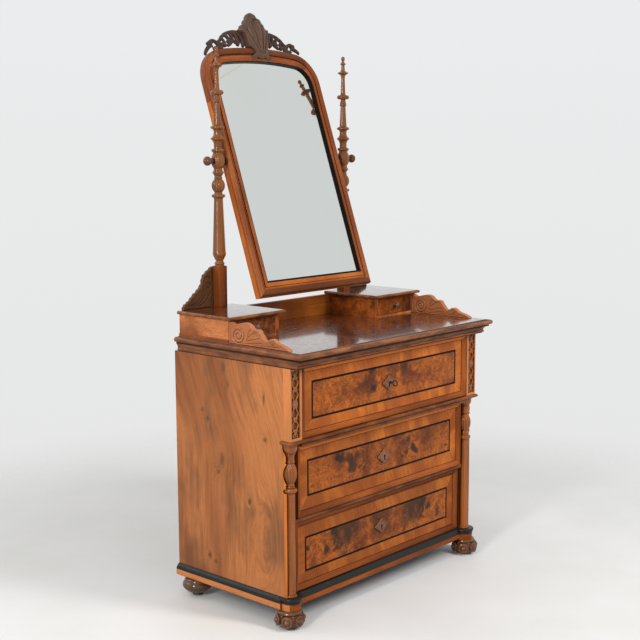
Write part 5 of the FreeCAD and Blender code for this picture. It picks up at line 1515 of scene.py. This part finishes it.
class DRESSER_OT_mirror_posts(PieceOperator, bpy.types.Operator):
    """Turn, facet and carve the two mirror posts"""

    bl_idname = "dresser.mirror_posts"
    bl_label = "Mirror posts"

    def make(self):
        low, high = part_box("post_right")
        base = low.z / MM
        s = sizes()
        foot_top = base + 141.0
        square = block("post_block", Vector((-0.018, -0.018, low.z)), Vector((0.018, 0.018, foot_top * MM)))
        soften(square, 0.0014, 3)
        shaft = 188.0
        steps = [(2.0, 17.6, 0.6), (2.0, 15.0, -0.5), (8.0, 15.6, 2.2), (2.0, 14.0), (6.5, 13.6, -0.8)]
        steps += [(6.5, 17.4, 1.2), (14.0, 23.2, 0.9)]
        shaft_low = foot_top + 41.0
        shaft_high = shaft_low + shaft
        steps += [(shaft, 15.8, 0.0)]
        steps += [(5.0, 17.5, -0.5), (0.5, 20.5), (11.0, 20.5, 3.0), (0.5, 15.0), (6.0, 14.0, -0.6)]
        steps += [(1.0, 13.4), (44.0, 13.4, 10.0), (1.0, 12.8), (5.0, 13.6, 0.9), (5.0, 12.9, -0.8)]
        steps += [(7.0, 16.5, 0.5), (8.0, 16.5, 3.0), (4.0, 15.5), (2.0, 14.8), (5.0, 15.5, -0.4)]
        steps += [swelling(24.5, 15.5, 24.0), swelling(24.5, 24.0, 16.5)]
        steps += [(6.0, 18.5, -0.6), (0.5, 19.5), (9.5, 19.5, 2.5), (0.5, 14.4), (9.5, 13.4, -0.8)]
        steps += [(22.0, 22.5, -3.4), (6.0, 21.5, 1.6), (15.0, 13.4, -2.4), (14.0, 17.4, -2.2), (0.5, 20.9)]
        steps += [(9.5, 20.9, 2.6), (3.0, 13.4), (75.0, 9.4, 0.0), (2.0, 11.9), (6.0, 11.9, 1.4), (1.0, 10.8)]
        steps += [(6.0, 11.4, 0.8), (11.0, 9.6, -1.0), (0.5, 17.5), (4.0, 21.6, 1.0), (7.5, 21.6, 1.6)]
        steps += [(4.0, 16.0, 1.0), (0.5, 11.4), (8.0, 8.6, -0.6), (56.0, 7.0, 0.0), (5.0, 8.4)]
        steps += [(6.5, 13.5, -1.6), (5.5, 19.9, 0.4), (2.5, 19.5, 0.8), (9.5, 7.0, -2.0), (18.0, 6.0)]
        steps += [(0.5, 8.4), (6.0, 8.4, 1.6), (7.5, 4.4, -0.8), swelling(9.0, 4.4, 7.0), dome(8.0, 7.0)]
        top = foot_top + sum(step[0] for step in steps)
        stretch = (high.z / MM - foot_top) / (top - foot_top)
        profile = profile_of(foot_top, 17.8, steps)
        post = spun("turning", [(r, foot_top + (z - foot_top) * stretch) for r, z in profile], 96, 5.0)
        reshape(post, faceted(shaft_low, shaft_high + 3, s.shaft_facets, 0.1, math.radians(14)))
        reshape(post, lobed(shaft_high + 23, shaft_high + 69, s.melon_lobes, 3.2, 0.7))
        pivot = PIVOT.z / MM
        reshape(post, lobed(pivot - 25, pivot + 25, s.melon_lobes, 1.3, 0.5))
        reshape(post, lobed(pivot + 136, pivot + 210, 8, 1.1, 0.5))
        post = join("finished_post_right", [post, square])
        post.data.transform(Matrix.Translation(((low.x + high.x) / 2, PIVOT.y, 0)))
        c = colours()
        paint(post, finish("post_walnut", turned_wood, c.post, shine=0.36, rings=0.90, rubbed=0.7),
              finish("post_block_walnut", wood, deeper(c.moulding_pale, 0.62), c.moulding_dark, "Z", 9.0,
                     shine=0.2))
        paint_faces(post, 1, lambda c, n: c.z < foot_top * MM - 0.0005)
        hand_over(post, "case", "walnut_dark", "post_right")
        hand_over(mirrored(post, "finished_post_left"), "case", "walnut_dark", "post_left")


WING_OUTLINE = [
    (343.2, 987.2), (482, 987.2), (482, 996), (477, 999), (474, 1006), (466, 1007), (460, 1014),
    (451, 1016), (447, 1025), (438, 1029), (432, 1039), (422, 1041), (416, 1050), (407, 1054),
    (401, 1065), (394, 1071), (395, 1082), (389, 1091), (388, 1099), (378, 1103), (371, 1112),
    (361, 1115), (355, 1122), (347, 1125.5), (343.2, 1126),
]


class DRESSER_OT_wings(PieceOperator, bpy.types.Operator):
    """Carve the leafy wing brackets at the feet of the posts"""

    bl_idname = "dresser.wings"
    bl_label = "Wing brackets"

    def make(self):
        scroll = spiral(366, 1062, 3.0, 15.0, -60, 1.8)
        leaves = lines_through(
            [(458, 998), (430, 1005), (405, 1022), (388, 1046), (381, 1074)],
            [(440, 997), (416, 1002), (394, 1016), (381, 1034)],
            [(418, 995), (398, 999), (380, 1009), (367, 1024), (358, 1038)],
            [(351, 995), (350, 1026), (348, 1056), (350, 1088), (353, 1108)],
            [(356, 1086), (366, 1092), (378, 1090), (386, 1082)],
        )
        ribs = lines_through(
            [(430, 1002), (418, 1016), (414, 1034)], [(406, 1014), (398, 1036), (398, 1060)],
            [(386, 1044), (378, 1068), (364, 1092)], [(372, 1012), (358, 1024), (351, 1036)],
        )

        def face(points, gap):
            height = 5.0 + rounded_edge(gap, 3.0, 2.2)
            for line, width in zip(ribs, (7, 7, 6, 5)):
                height = height + raised(points, line, (1.5, width, 1.0), 1.2, 0.8)
            height = height + incised(points, leaves, 1.5, 2.2) + incised(points, [scroll], 1.6, 2.2)
            return np.minimum(height, 5.9)

        def to_space(u, v, w):
            return at(u, 516.0 - w, v)

        piece = carved_plate("wing_right", WING_OUTLINE, 1.4, face, -5.9, to_space)
        pair = join("finished_wing_brackets", [piece, mirrored(piece, "wing_left")])
        paint(pair, finish("wing_walnut", carved_wood, (0.088, 0.034, 0.013, 1.0), "Z", 0.34, 0.16,
                           recess=0.9, rubbed=0.35))
        hand_over(pair, "case", "walnut_dark", "wing_brackets")


# ---------------------------------------------------------------- mirror

# The frame round its pivot: half its width, down to its foot, up to its crown, and the radii of
# its shoulders and of its crown.
HALF_WIDTH, DROP, RISE, SHOULDER, CROWN = 292.0, 488.0, 422.0, 119.0, 1480.0
# Past this far inwards the opening keeps off the foot and the crown, whose rails are wider.
RAILS_FROM, RAIL_SPAN, WIDER_FOOT, WIDER_CROWN = 33.0, 12.0, 5.0, 8.0


def arch(inset):
    """The frame's outline, moved inwards: foot, sides, round shoulders and flat crown."""
    wider = max(0.0, inset - RAILS_FROM) / RAIL_SPAN
    half, top = HALF_WIDTH - inset, RISE - inset - WIDER_CROWN * wider
    shoulder, crown = SHOULDER - inset, CROWN - inset - WIDER_CROWN * wider
    rise = math.sqrt((crown - shoulder) ** 2 - (half - shoulder) ** 2)
    spring = top - crown + rise
    turn = math.atan2(rise, half - shoulder)
    foot = inset + WIDER_FOOT * wider - DROP
    right = [(0.0, foot), (half, foot)]
    right += [(half, foot + (spring - foot) * k / 10) for k in range(1, 11)]
    for k in range(1, 15):
        angle = turn * k / 14
        right.append((half - shoulder + shoulder * math.cos(angle), spring + shoulder * math.sin(angle)))
    for k in range(1, 13):
        angle = turn + (math.pi / 2 - turn) * k / 12
        right.append((crown * math.cos(angle), top - crown + crown * math.sin(angle)))
    return right + [(-x, z) for x, z in right[-2:0:-1]]


SHOULDER_X = HALF_WIDTH - SHOULDER
SPRING = RISE - CROWN + math.sqrt((CROWN - SHOULDER) ** 2 - SHOULDER_X ** 2)
MEET = SHOULDER_X * CROWN / (CROWN - SHOULDER)


def arch_height(u):
    """Top edge of the frame above the pivot at a distance from the middle."""
    if abs(u) < MEET:
        return RISE - CROWN + math.sqrt(CROWN ** 2 - u ** 2)
    return SPRING + math.sqrt(max(SHOULDER ** 2 - (abs(u) - SHOULDER_X) ** 2, 0.0))


def below_arch(x, z):
    """How far a point lies inside the shoulders and the crown."""
    if abs(x) > MEET * 0.985 and z > SPRING:
        return SHOULDER - math.hypot(abs(x) - SHOULDER_X, z - SPRING)
    return CROWN - math.hypot(x, z - (RISE - CROWN)) if z > 0 else 1000.0


def swept_arch(name, section):
    """A closed moulding round the mirror. The section is (inwards, forwards) pairs in mm."""
    rings = [[(x * MM, -forwards * MM, z * MM) for x, z in arch(inwards)] for inwards, forwards in section]
    count = len(rings[0])
    faces = []
    for ring in range(len(rings)):
        following = (ring + 1) % len(rings)
        for index in range(count):
            after = (index + 1) % count
            faces.append((ring * count + index, ring * count + after,
                          following * count + after, following * count + index))
    piece = from_points(name, [p for ring in rings for p in ring], [], faces)
    edit(piece, chosen=True)
    return close_edit(piece, angle=32.0)


class DRESSER_OT_mirror_frame(PieceOperator, bpy.types.Operator):
    """Sweep the moulded frame of the mirror round its arch"""

    bl_idname = "dresser.mirror_frame"
    bl_label = "Mirror frame"

    def make(self):
        outer = [(0, -17.9), (0, 1.4), (0.9, 1.4), (0.9, 3.2)]
        for k in range(1, 10):
            angle = math.pi / 2 * k / 9
            outer.append((9.9 - 9.0 * math.cos(angle), 3.2 + 10.5 * math.sin(angle)))
        outer += [(16.0, 13.6), (19.0, 13.0), (19.4, 12.2), (20.6, 12.0), (23.6, 10.2), (25.0, 8.0)]
        outer += [(25.4, 6.6), (27.4, 6.6), (27.8, 8.2), (31.0, 8.6), (31.2, 6.8), (32.2, 6.8)]
        outer += [(32.4, 11.7), (33.0, 12.5), (42.4, 12.5), (45.0, 12.5)]
        section = outer + [(45.0, 2.6), (40.0, 2.6), (40.0, -17.9)]
        piece = swept_arch("finished_mirror_frame", section)
        c = colours()
        plain = {"seed": 8.0, "figure": 0.2, "lines": 9, "cloud": 6}
        banded = {"seed": 6.0, "lines": 12, "cloud": 8}
        rounded = {"seed": 7.0, "figure": 0.25, "lines": 10, "cloud": 9}
        # Painted light and shade: the rounded member is a paler copy on the sides and a darker one on the top
        # and foot, the top band is darker than the side bands, and the outer edge is darker round the
        # shoulders than on the flanks below.
        paint(piece,
              finish("mirror_frame_Z", wood, deeper(c.frame, 1.12), deeper(c.moulding_dark, 1.12), "Z",
                     **rounded),
              finish("mirror_frame_X", wood, deeper(c.frame, 0.60), deeper(c.moulding_dark, 0.60), "X",
                     **rounded),
              finish("mirror_band_Z", wood, c.moulding_pale, c.moulding_dark, "Z", **banded),
              finish("mirror_band_top", wood, deeper(c.moulding_pale, 0.76), deeper(c.moulding_dark, 0.76),
                     "X", **banded),
              stringing(),
              deal("Z"),
              finish("mirror_flank", wood, deeper(c.banding_pale, 0.92), deeper(c.banding_dark, 0.92), "Z",
                     **plain),
              finish("mirror_band_foot", wood, deeper(c.banding_pale, 0.68), deeper(c.moulding_pale, 0.8),
                     "Z", 6.0, lines=12, cloud=12, slant=0.3),
              finish("mirror_shoulder", wood, deeper(c.moulding_pale, 0.6), c.moulding_dark, "Z", **plain))
        self.share_out(piece)
        leaning(piece)
        hand_over(piece, "mirror", "walnut_dark", "mirror_stile_left", "mirror_stile_right",
                  "mirror_top_rail", "mirror_bottom_rail")

    def share_out(self, piece):
        """Gives each face the finish of its member, by its distance from the outer edge. The darker copies on
        the top, foot and shoulders are painted shade.
        """
        side_round, flat_round, side_band, top_band, black, back, flank, foot_band, shoulder = range(9)
        for polygon in piece.data.polygons:
            x, y, z = polygon.center / MM
            above_foot = z + DROP
            at_foot = above_foot < 60
            flat = (z > RISE - 75 and abs(x) < 235) or (at_foot and above_foot < HALF_WIDTH - abs(x))
            from_edge = min(HALF_WIDTH - abs(x), above_foot, below_arch(x, z))
            number = flat_round if flat else side_round
            if from_edge > 32.3 and -y > 4 and polygon.normal.y < -0.3:
                number = top_band if flat else side_band
                if at_foot and flat:
                    number = foot_band
                if at_foot and from_edge > 47.0:
                    number = black
            elif at_foot and from_edge > 44.8:
                number = black
            elif from_edge > 25.2 and above_foot < 40 and flat:
                number = foot_band
            # Painted shade: the two grooves between the rounded member and the band are painted black.
            elif 25.2 < from_edge < 27.6 or 31.0 < from_edge < 32.4:
                number = black
            elif from_edge < 0.5:
                number = shoulder if z > RISE - 170 else flank
            if y > 17.0 or (y > 4 and from_edge > 39):
                number = back
            polygon.material_index = number


def upright(u, v, w):
    """The crest's plane: u across, v up and w forwards of the pivot."""
    return Vector((u * MM, -w * MM, v * MM))


# Scrolls of the pierced foliage, right half: control points u, v, half width, half depth.
FOLIAGE = [
    [(262, 384, 5, 4), (252, 399, 6.5, 5), (238, 412, 7, 6), (226, 419, 6.5, 6), (215, 419, 4, 4)],
    [(238, 424, 7, 7), (226, 429, 8.5, 8), (216, 433, 7, 7)],
    [(226, 436, 3.5, 5), (213, 440, 5, 6), (200, 437, 6, 6), (190, 428, 6, 6), (186, 417, 5.5, 5),
     (190, 410, 4.5, 4)],
    [(214, 408, 5, 5), (200, 414, 6, 5), (184, 414, 6, 5), (168, 418, 6, 5)],
    [(196, 434, 5, 5), (183, 437, 5.5, 6), (171, 445, 6, 6.5), (160, 457, 6, 6.5), (146, 463, 6, 6),
     (134, 458, 6, 6), (129, 447, 5.5, 6), (134, 439, 4.5, 5), (142, 441, 4, 4)],
    [(186, 432, 6, 5), (172, 428, 6.5, 6), (158, 430, 6.5, 6), (146, 424, 6, 5)],
    [(164, 452, 4, 4), (156, 444, 5, 5), (154, 432, 6, 5), (160, 420, 6, 5)],
    [(152, 466, 4, 5), (138, 471, 5, 6), (122, 475, 6, 6.5), (106, 478, 6.5, 7), (88, 479, 6.5, 7),
     (72, 474, 6, 7), (60, 464, 6, 6)],
    [(120, 474, 5, 5), (112, 464, 6.5, 6), (112, 450, 7, 6.5), (120, 438, 7, 6), (130, 430, 6, 5),
     (140, 424, 5, 4)],
    [(104, 476, 5, 5), (92, 466, 6.5, 7), (86, 452, 7.5, 7.5), (86, 438, 7.5, 7), (92, 428, 6.5, 5)],
    [(84, 478, 5, 5), (72, 466, 7, 8), (64, 450, 7.5, 8), (62, 434, 7, 7), (68, 424, 5, 4)],
    [(64, 470, 5, 6), (54, 456, 7, 8), (46, 440, 7, 8), (44, 424, 6, 6)],
    [(112, 452, 5, 5), (104, 444, 5.5, 5), (96, 436, 5, 5)],
]

# Outline of the cartouche, which leans a little to the left.
CARTOUCHE = [
    (20, 380), (30, 373), (44, 370), (54, 373), (59, 380), (57, 388), (48, 390), (43, 398), (47, 412),
    (52, 430), (52, 450), (57, 466), (65, 474), (70, 483), (72, 494), (64, 492), (57, 490), (50, 497),
    (49, 507), (41, 513), (41, 523), (36, 531), (25, 532), (22, 540), (16, 549), (7, 554.5),
    (-3, 554.5), (-11, 550), (-18, 542), (-22, 532), (-31, 528), (-37, 521), (-38, 511), (-45, 507),
    (-56, 505), (-61, 497), (-66, 489), (-77, 487), (-72, 478), (-60, 470), (-55, 458), (-50, 440),
    (-44, 424), (-33, 412), (-24, 402), (-33, 394), (-47, 386), (-51, 376), (-44, 369), (-30, 372),
    (-20, 380), (-8, 376), (6, 375),
]


class DRESSER_OT_crest(PieceOperator, bpy.types.Operator):
    """Carve the pierced foliage and the cartouche on top of the mirror"""

    bl_idname = "dresser.crest"
    bl_label = "Carved crest"

    def make(self):
        parts = []
        for points in FOLIAGE:
            for way in (1, -1):
                path = []
                for u, v, half, deep in points:
                    across = u if way < 0 else u * 0.86
                    lift = arch_height(across) - arch_height(u)
                    path.append((way * across, v + lift, half * 1.08, deep))
                parts.append(stroke(path, lambda u, v, w: upright(u, v, w + 1.0), 12))
        foliage = grown_together("finished_crest_foliage", parts, 0.0012)
        for vertex in foliage.data.vertices:
            vertex.co.z = max(vertex.co.z, (arch_height(vertex.co.x / MM) - 0.8) * MM)
            vertex.co.y = min(vertex.co.y, 0.0079)
        leaning(foliage)
        paint(foliage, finish("foliage_walnut", carved_wood, colours().foliage, "Z", 0.42, 0.3,
                              recess=0.92, rubbed=0.3))
        hand_over(foliage, "mirror", "walnut_dark", "crest_foliage")
        self.cartouche()

    def cartouche(self):
        fan = lines_through(
            [(2, 398), (6, 440), (4, 480), (0, 512)],
            [(12, 398), (26, 436), (34, 474), (36, 500)],
            [(-6, 400), (-20, 440), (-30, 474), (-36, 496)],
            [(20, 398), (42, 430), (52, 462), (60, 482)],
            [(-14, 404), (-36, 442), (-50, 468), (-66, 482)],
        )
        valleys = lines_through(
            [(7, 402), (17, 440), (20, 480), (20, 520)],
            [(-2, 402), (-8, 440), (-14, 480), (-18, 516)],
            [(16, 400), (34, 440), (44, 474), (49, 494)],
            [(-10, 402), (-29, 442), (-41, 474), (-48, 496)],
        )
        ball = [(0, 534, 13, 9), (18, 520, 9, 5), (-18, 520, 9, 5), (0, 512, 9, 4)]
        curls = [spiral(46, 380, 2.0, 9.0, 120, 1.3), spiral(-38, 379, 2.0, 9.0, 60, -1.3)]

        def face(points, gap):
            u, v = points[:, 0], points[:, 1]
            belly = 24.0 * np.exp(-((v - 478) / 62) ** 2) * np.exp(-(u / 60) ** 2)
            lip = 10.0 * np.exp(-((v - 400) / 26) ** 2) * np.exp(-(u / 46) ** 2)
            height = 13.0 + belly + lip
            for line in fan:
                height = height + raised(points, line, (3, 10, 6), 3.2)
            height = height + incised(points, valleys, 2.6, 3.6) + incised(points, curls, 1.6, 2.2)
            for bu, bv, radius, lift in ball:
                away = np.hypot(u - bu, v - bv)
                height = height + lift * np.sqrt(np.clip(1 - (away / radius) ** 2, 0, 1))
            return height + rounded_edge(gap, 6.0, np.minimum(height * 0.55, 12.0))

        def back(points, gap):
            on_frame = points[:, 1] < np.array([arch_height(u) for u in points[:, 0]]) + 0.5
            return np.where(on_frame, 12.0, -6.5 - rounded_edge(gap, 5.0, 4.0))

        piece = leaning(carved_plate("finished_crest_cartouche", CARTOUCHE, 1.5, face, back, upright))
        paint(piece, finish("dark_carved_walnut", carved_wood, colours().crest, "Z", 0.42, 0.3))
        hand_over(piece, "mirror", "walnut_dark", "crest_cartouche")


class DRESSER_OT_hardware(PieceOperator, bpy.types.Operator):
    """Turn the clamp knobs and finish the key, washers and bushes"""

    bl_idname = "dresser.hardware"
    bl_label = "Knobs and key"

    def make(self):
        low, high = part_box("clamp_screw_right")
        collar = 352.5
        start = low.x / MM
        steps = [(collar - start, 4.0), (0.0, 7.5), (1.5, 8.4, 0.5), (2.0, 6.6), (4.5, 6.2, -1.2), (1.0, 8.6)]
        used = sum(step[0] for step in steps)
        ball = high.x / MM - start - used
        steps += [(1.2, 9.6, 0.5), swelling(ball * 0.42, 9.6, 16.0), swelling(ball * 0.30, 16.0, 11.5)]
        steps += [(0.8, 9.8), (0.3, 8.6), dome(ball - 1.2 - ball * 0.72 - 1.1, 8.6)]
        knob = spun("finished_clamp_screw_right", profile_of(0.0, 4.0, steps), 48, 4.0)
        place = Matrix.Translation((low.x, PIVOT.y, PIVOT.z))
        knob.data.transform(place @ Matrix.Rotation(math.pi / 2, 4, "Y"))
        paint(knob, finish("knob_walnut", turned_wood, (0.12, 0.045, 0.015, 1.0), "X", shine=0.4))
        left = mirrored(knob, "finished_clamp_screw_left")
        hand_over(knob, "clamp_right", "walnut_dark", "clamp_screw_right")
        hand_over(left, "clamp_left", "walnut_dark", "clamp_screw_left")
        # Painted shade: the washers and bushes sit in shade by the posts, so their iron is painted almost
        # black.
        iron_in_shade = finish("dark_iron", metal, (0.03, 0.024, 0.02, 1.0), rough=0.5)
        refinish("pivot_washers", "case", "iron", [iron_in_shade])
        refinish("mirror_bushes", "mirror", "iron", [iron_in_shade])
        refinish("key", "key", "iron", [iron()], 0.0003)


# ---------------------------------------------------------------- stage

# Area lamps: name, place, width and height in metres, power in watts.
LAMPS = (
    ("side_light", (-4.0, -0.9, 2.5), 0.6, 1.8, 88.0),
    ("front_light", (0.5, -2.9, 2.9), 0.6, 1.8, 82.0),
    ("glint_light", (-4.2, -1.4, 1.15), 0.25, 1.5, 12.0),
    ("rim_light", (-2.0, 2.6, 3.0), 2.0, 2.0, 25.0),
)
LIT_POINT = (0, 0, 0.9)

# The camera: yaw, pitch and roll in degrees, its place in mm, and its focal length in pixels of
# a picture of that width.
VIEW_ANGLES = (-47.866, 8.229, -0.265)
VIEW_FROM = (-3181.41, -2551.71, 1539.45)
FOCAL_PIXELS, PICTURE_WIDTH, SENSOR = 1212.03, 640, 36.0


class DRESSER_OT_stage(PieceOperator, bpy.types.Operator):
    """Set up the floor, the soft light and the camera"""

    bl_idname = "dresser.stage"
    bl_label = "Studio"

    def make(self):
        self.floor()
        self.world()
        self.lamps()
        self.camera()
        bpy.context.scene.view_settings.view_transform = "Standard"

    def floor(self):
        nothing_selected()
        bpy.ops.mesh.primitive_circle_add(vertices=96, radius=9.0, fill_type="NGON", location=(0, 0, -0.0004))
        floor = bpy.context.object
        floor.name = "studio_floor"
        f = Finish("studio_floor")
        coordinates = f.coordinates()
        far = f.distance(coordinates, (0, 0, 0), (1, 1, 0))
        marks = f.noise(coordinates, (1.4, 1.4, 1.0), 5.0, 0.6)
        shade = f.mix(f.spread(marks, 0.3, 0.7), (0.70, 0.70, 0.68, 1.0), (0.76, 0.76, 0.75, 1.0))
        shade = f.mix(f.seen_plainly(), (0.34, 0.32, 0.30, 1.0), shade)
        f.tree.links.new(shade, f.surface.inputs["Base Color"])
        f.surface.inputs["Roughness"].default_value = 0.65
        clear = f.node("BsdfTransparent")
        faded = f.node("MixShader", {0: f.spread(far, 1.0, 2.6), 1: f.surface.outputs[0], 2: clear})
        f.tree.links.new(faded, f.tree.nodes["Material Output"].inputs["Surface"])
        paint(floor, f.material)
        floor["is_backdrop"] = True

    def world(self):
        """White light on the object, and a pale grey wall wherever the world itself is seen."""
        world = bpy.data.worlds.new("studio")
        bpy.context.scene.world = world
        world.use_nodes = True
        w = Shading(world.node_tree)
        light = w.tree.nodes["Background"]
        light.inputs["Color"].default_value = (1.0, 1.0, 1.0, 1.0)
        light.inputs["Strength"].default_value = 0.58
        height = w.part(w.node("TexCoord", output="Generated"), "Z")
        fade = w.node("MapRange", {"Value": height, "From Min": -0.35, "From Max": 0.25})
        tint = w.mix(fade, (0.785, 0.785, 0.78, 1.0), (0.84, 0.86, 0.87, 1.0))
        wall = w.node("Background", {"Color": tint})
        shown = w.node("MixShader", {0: w.seen_plainly(), 1: light.outputs[0], 2: wall})
        w.tree.links.new(shown, w.tree.nodes["World Output"].inputs["Surface"])

    def lamps(self):
        for name, place, wide, tall, power in LAMPS:
            nothing_selected()
            bpy.ops.object.light_add(type="AREA", location=place)
            lamp = bpy.context.object
            lamp.name = name
            lamp.data.shape = "RECTANGLE"
            lamp.data.size = wide
            lamp.data.size_y = tall
            lamp.data.energy = power
            lamp.visible_glossy = name != "front_light"
            aim = Vector(LIT_POINT) - lamp.location
            lamp.rotation_euler = aim.to_track_quat("-Z", "Y").to_euler()

    def camera(self):
        yaw, pitch, roll = (math.radians(angle) for angle in VIEW_ANGLES)
        ahead = Vector((-math.sin(yaw) * math.cos(pitch), math.cos(yaw) * math.cos(pitch), -math.sin(pitch)))
        right = Vector((math.cos(yaw), math.sin(yaw), 0))
        up = right.cross(ahead)
        turned_right = right * math.cos(roll) + up * math.sin(roll)
        turned_up = up * math.cos(roll) - right * math.sin(roll)
        nothing_selected()
        bpy.ops.object.camera_add()
        camera = bpy.context.object
        camera.name = "camera"
        place = Matrix((turned_right, turned_up, -ahead)).transposed().to_4x4()
        place.translation = at(*VIEW_FROM)
        camera.matrix_world = place
        camera.data.sensor_width = SENSOR
        camera.data.lens = SENSOR * FOCAL_PIXELS / PICTURE_WIDTH
        bpy.context.scene.camera = camera


OPERATORS = (
    DRESSER_OT_plain_boards, DRESSER_OT_case_mouldings, DRESSER_OT_columns, DRESSER_OT_feet,
    DRESSER_OT_pilasters, DRESSER_OT_long_drawers, DRESSER_OT_small_boxes, DRESSER_OT_volutes,
    DRESSER_OT_mirror_posts, DRESSER_OT_wings, DRESSER_OT_mirror_frame, DRESSER_OT_crest,
    DRESSER_OT_hardware, DRESSER_OT_stage,
)


class DRESSER_PT_panel(bpy.types.Panel):
    """Lists the dresser's pieces, sizes and colours"""

    bl_idname = "DRESSER_PT_panel"
    bl_label = "Dresser"
    bl_space_type = "VIEW_3D"
    bl_region_type = "UI"
    bl_category = "Dresser"

    def draw(self, context):
        for operator in OPERATORS:
            self.layout.operator(operator.bl_idname)
        for group in (context.scene.dresser_sizes, context.scene.dresser_colours):
            for name in group.bl_rna.properties.keys():
                if name not in ("rna_type", "name"):
                    self.layout.prop(group, name)


CLASSES = (DresserSizes, DresserColours, *OPERATORS, DRESSER_PT_panel)


def register():
    for made in CLASSES:
        bpy.utils.register_class(made)
    bpy.types.Scene.dresser_sizes = PointerProperty(type=DresserSizes)
    bpy.types.Scene.dresser_colours = PointerProperty(type=DresserColours)


def unregister():
    del bpy.types.Scene.dresser_colours
    del bpy.types.Scene.dresser_sizes
    for made in reversed(CLASSES):
        bpy.utils.unregister_class(made)


def main():
    register()
    for operator in OPERATORS:
        group, name = operator.bl_idname.split(".")
        getattr(getattr(bpy.ops, group), name)()
    boxes = {"cad": CAD_BOX, "visual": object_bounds()}
    {key: [[float(v) for v in corner] for corner in box] for key, box in boxes.items()}


if __name__ == "__main__":
    main()
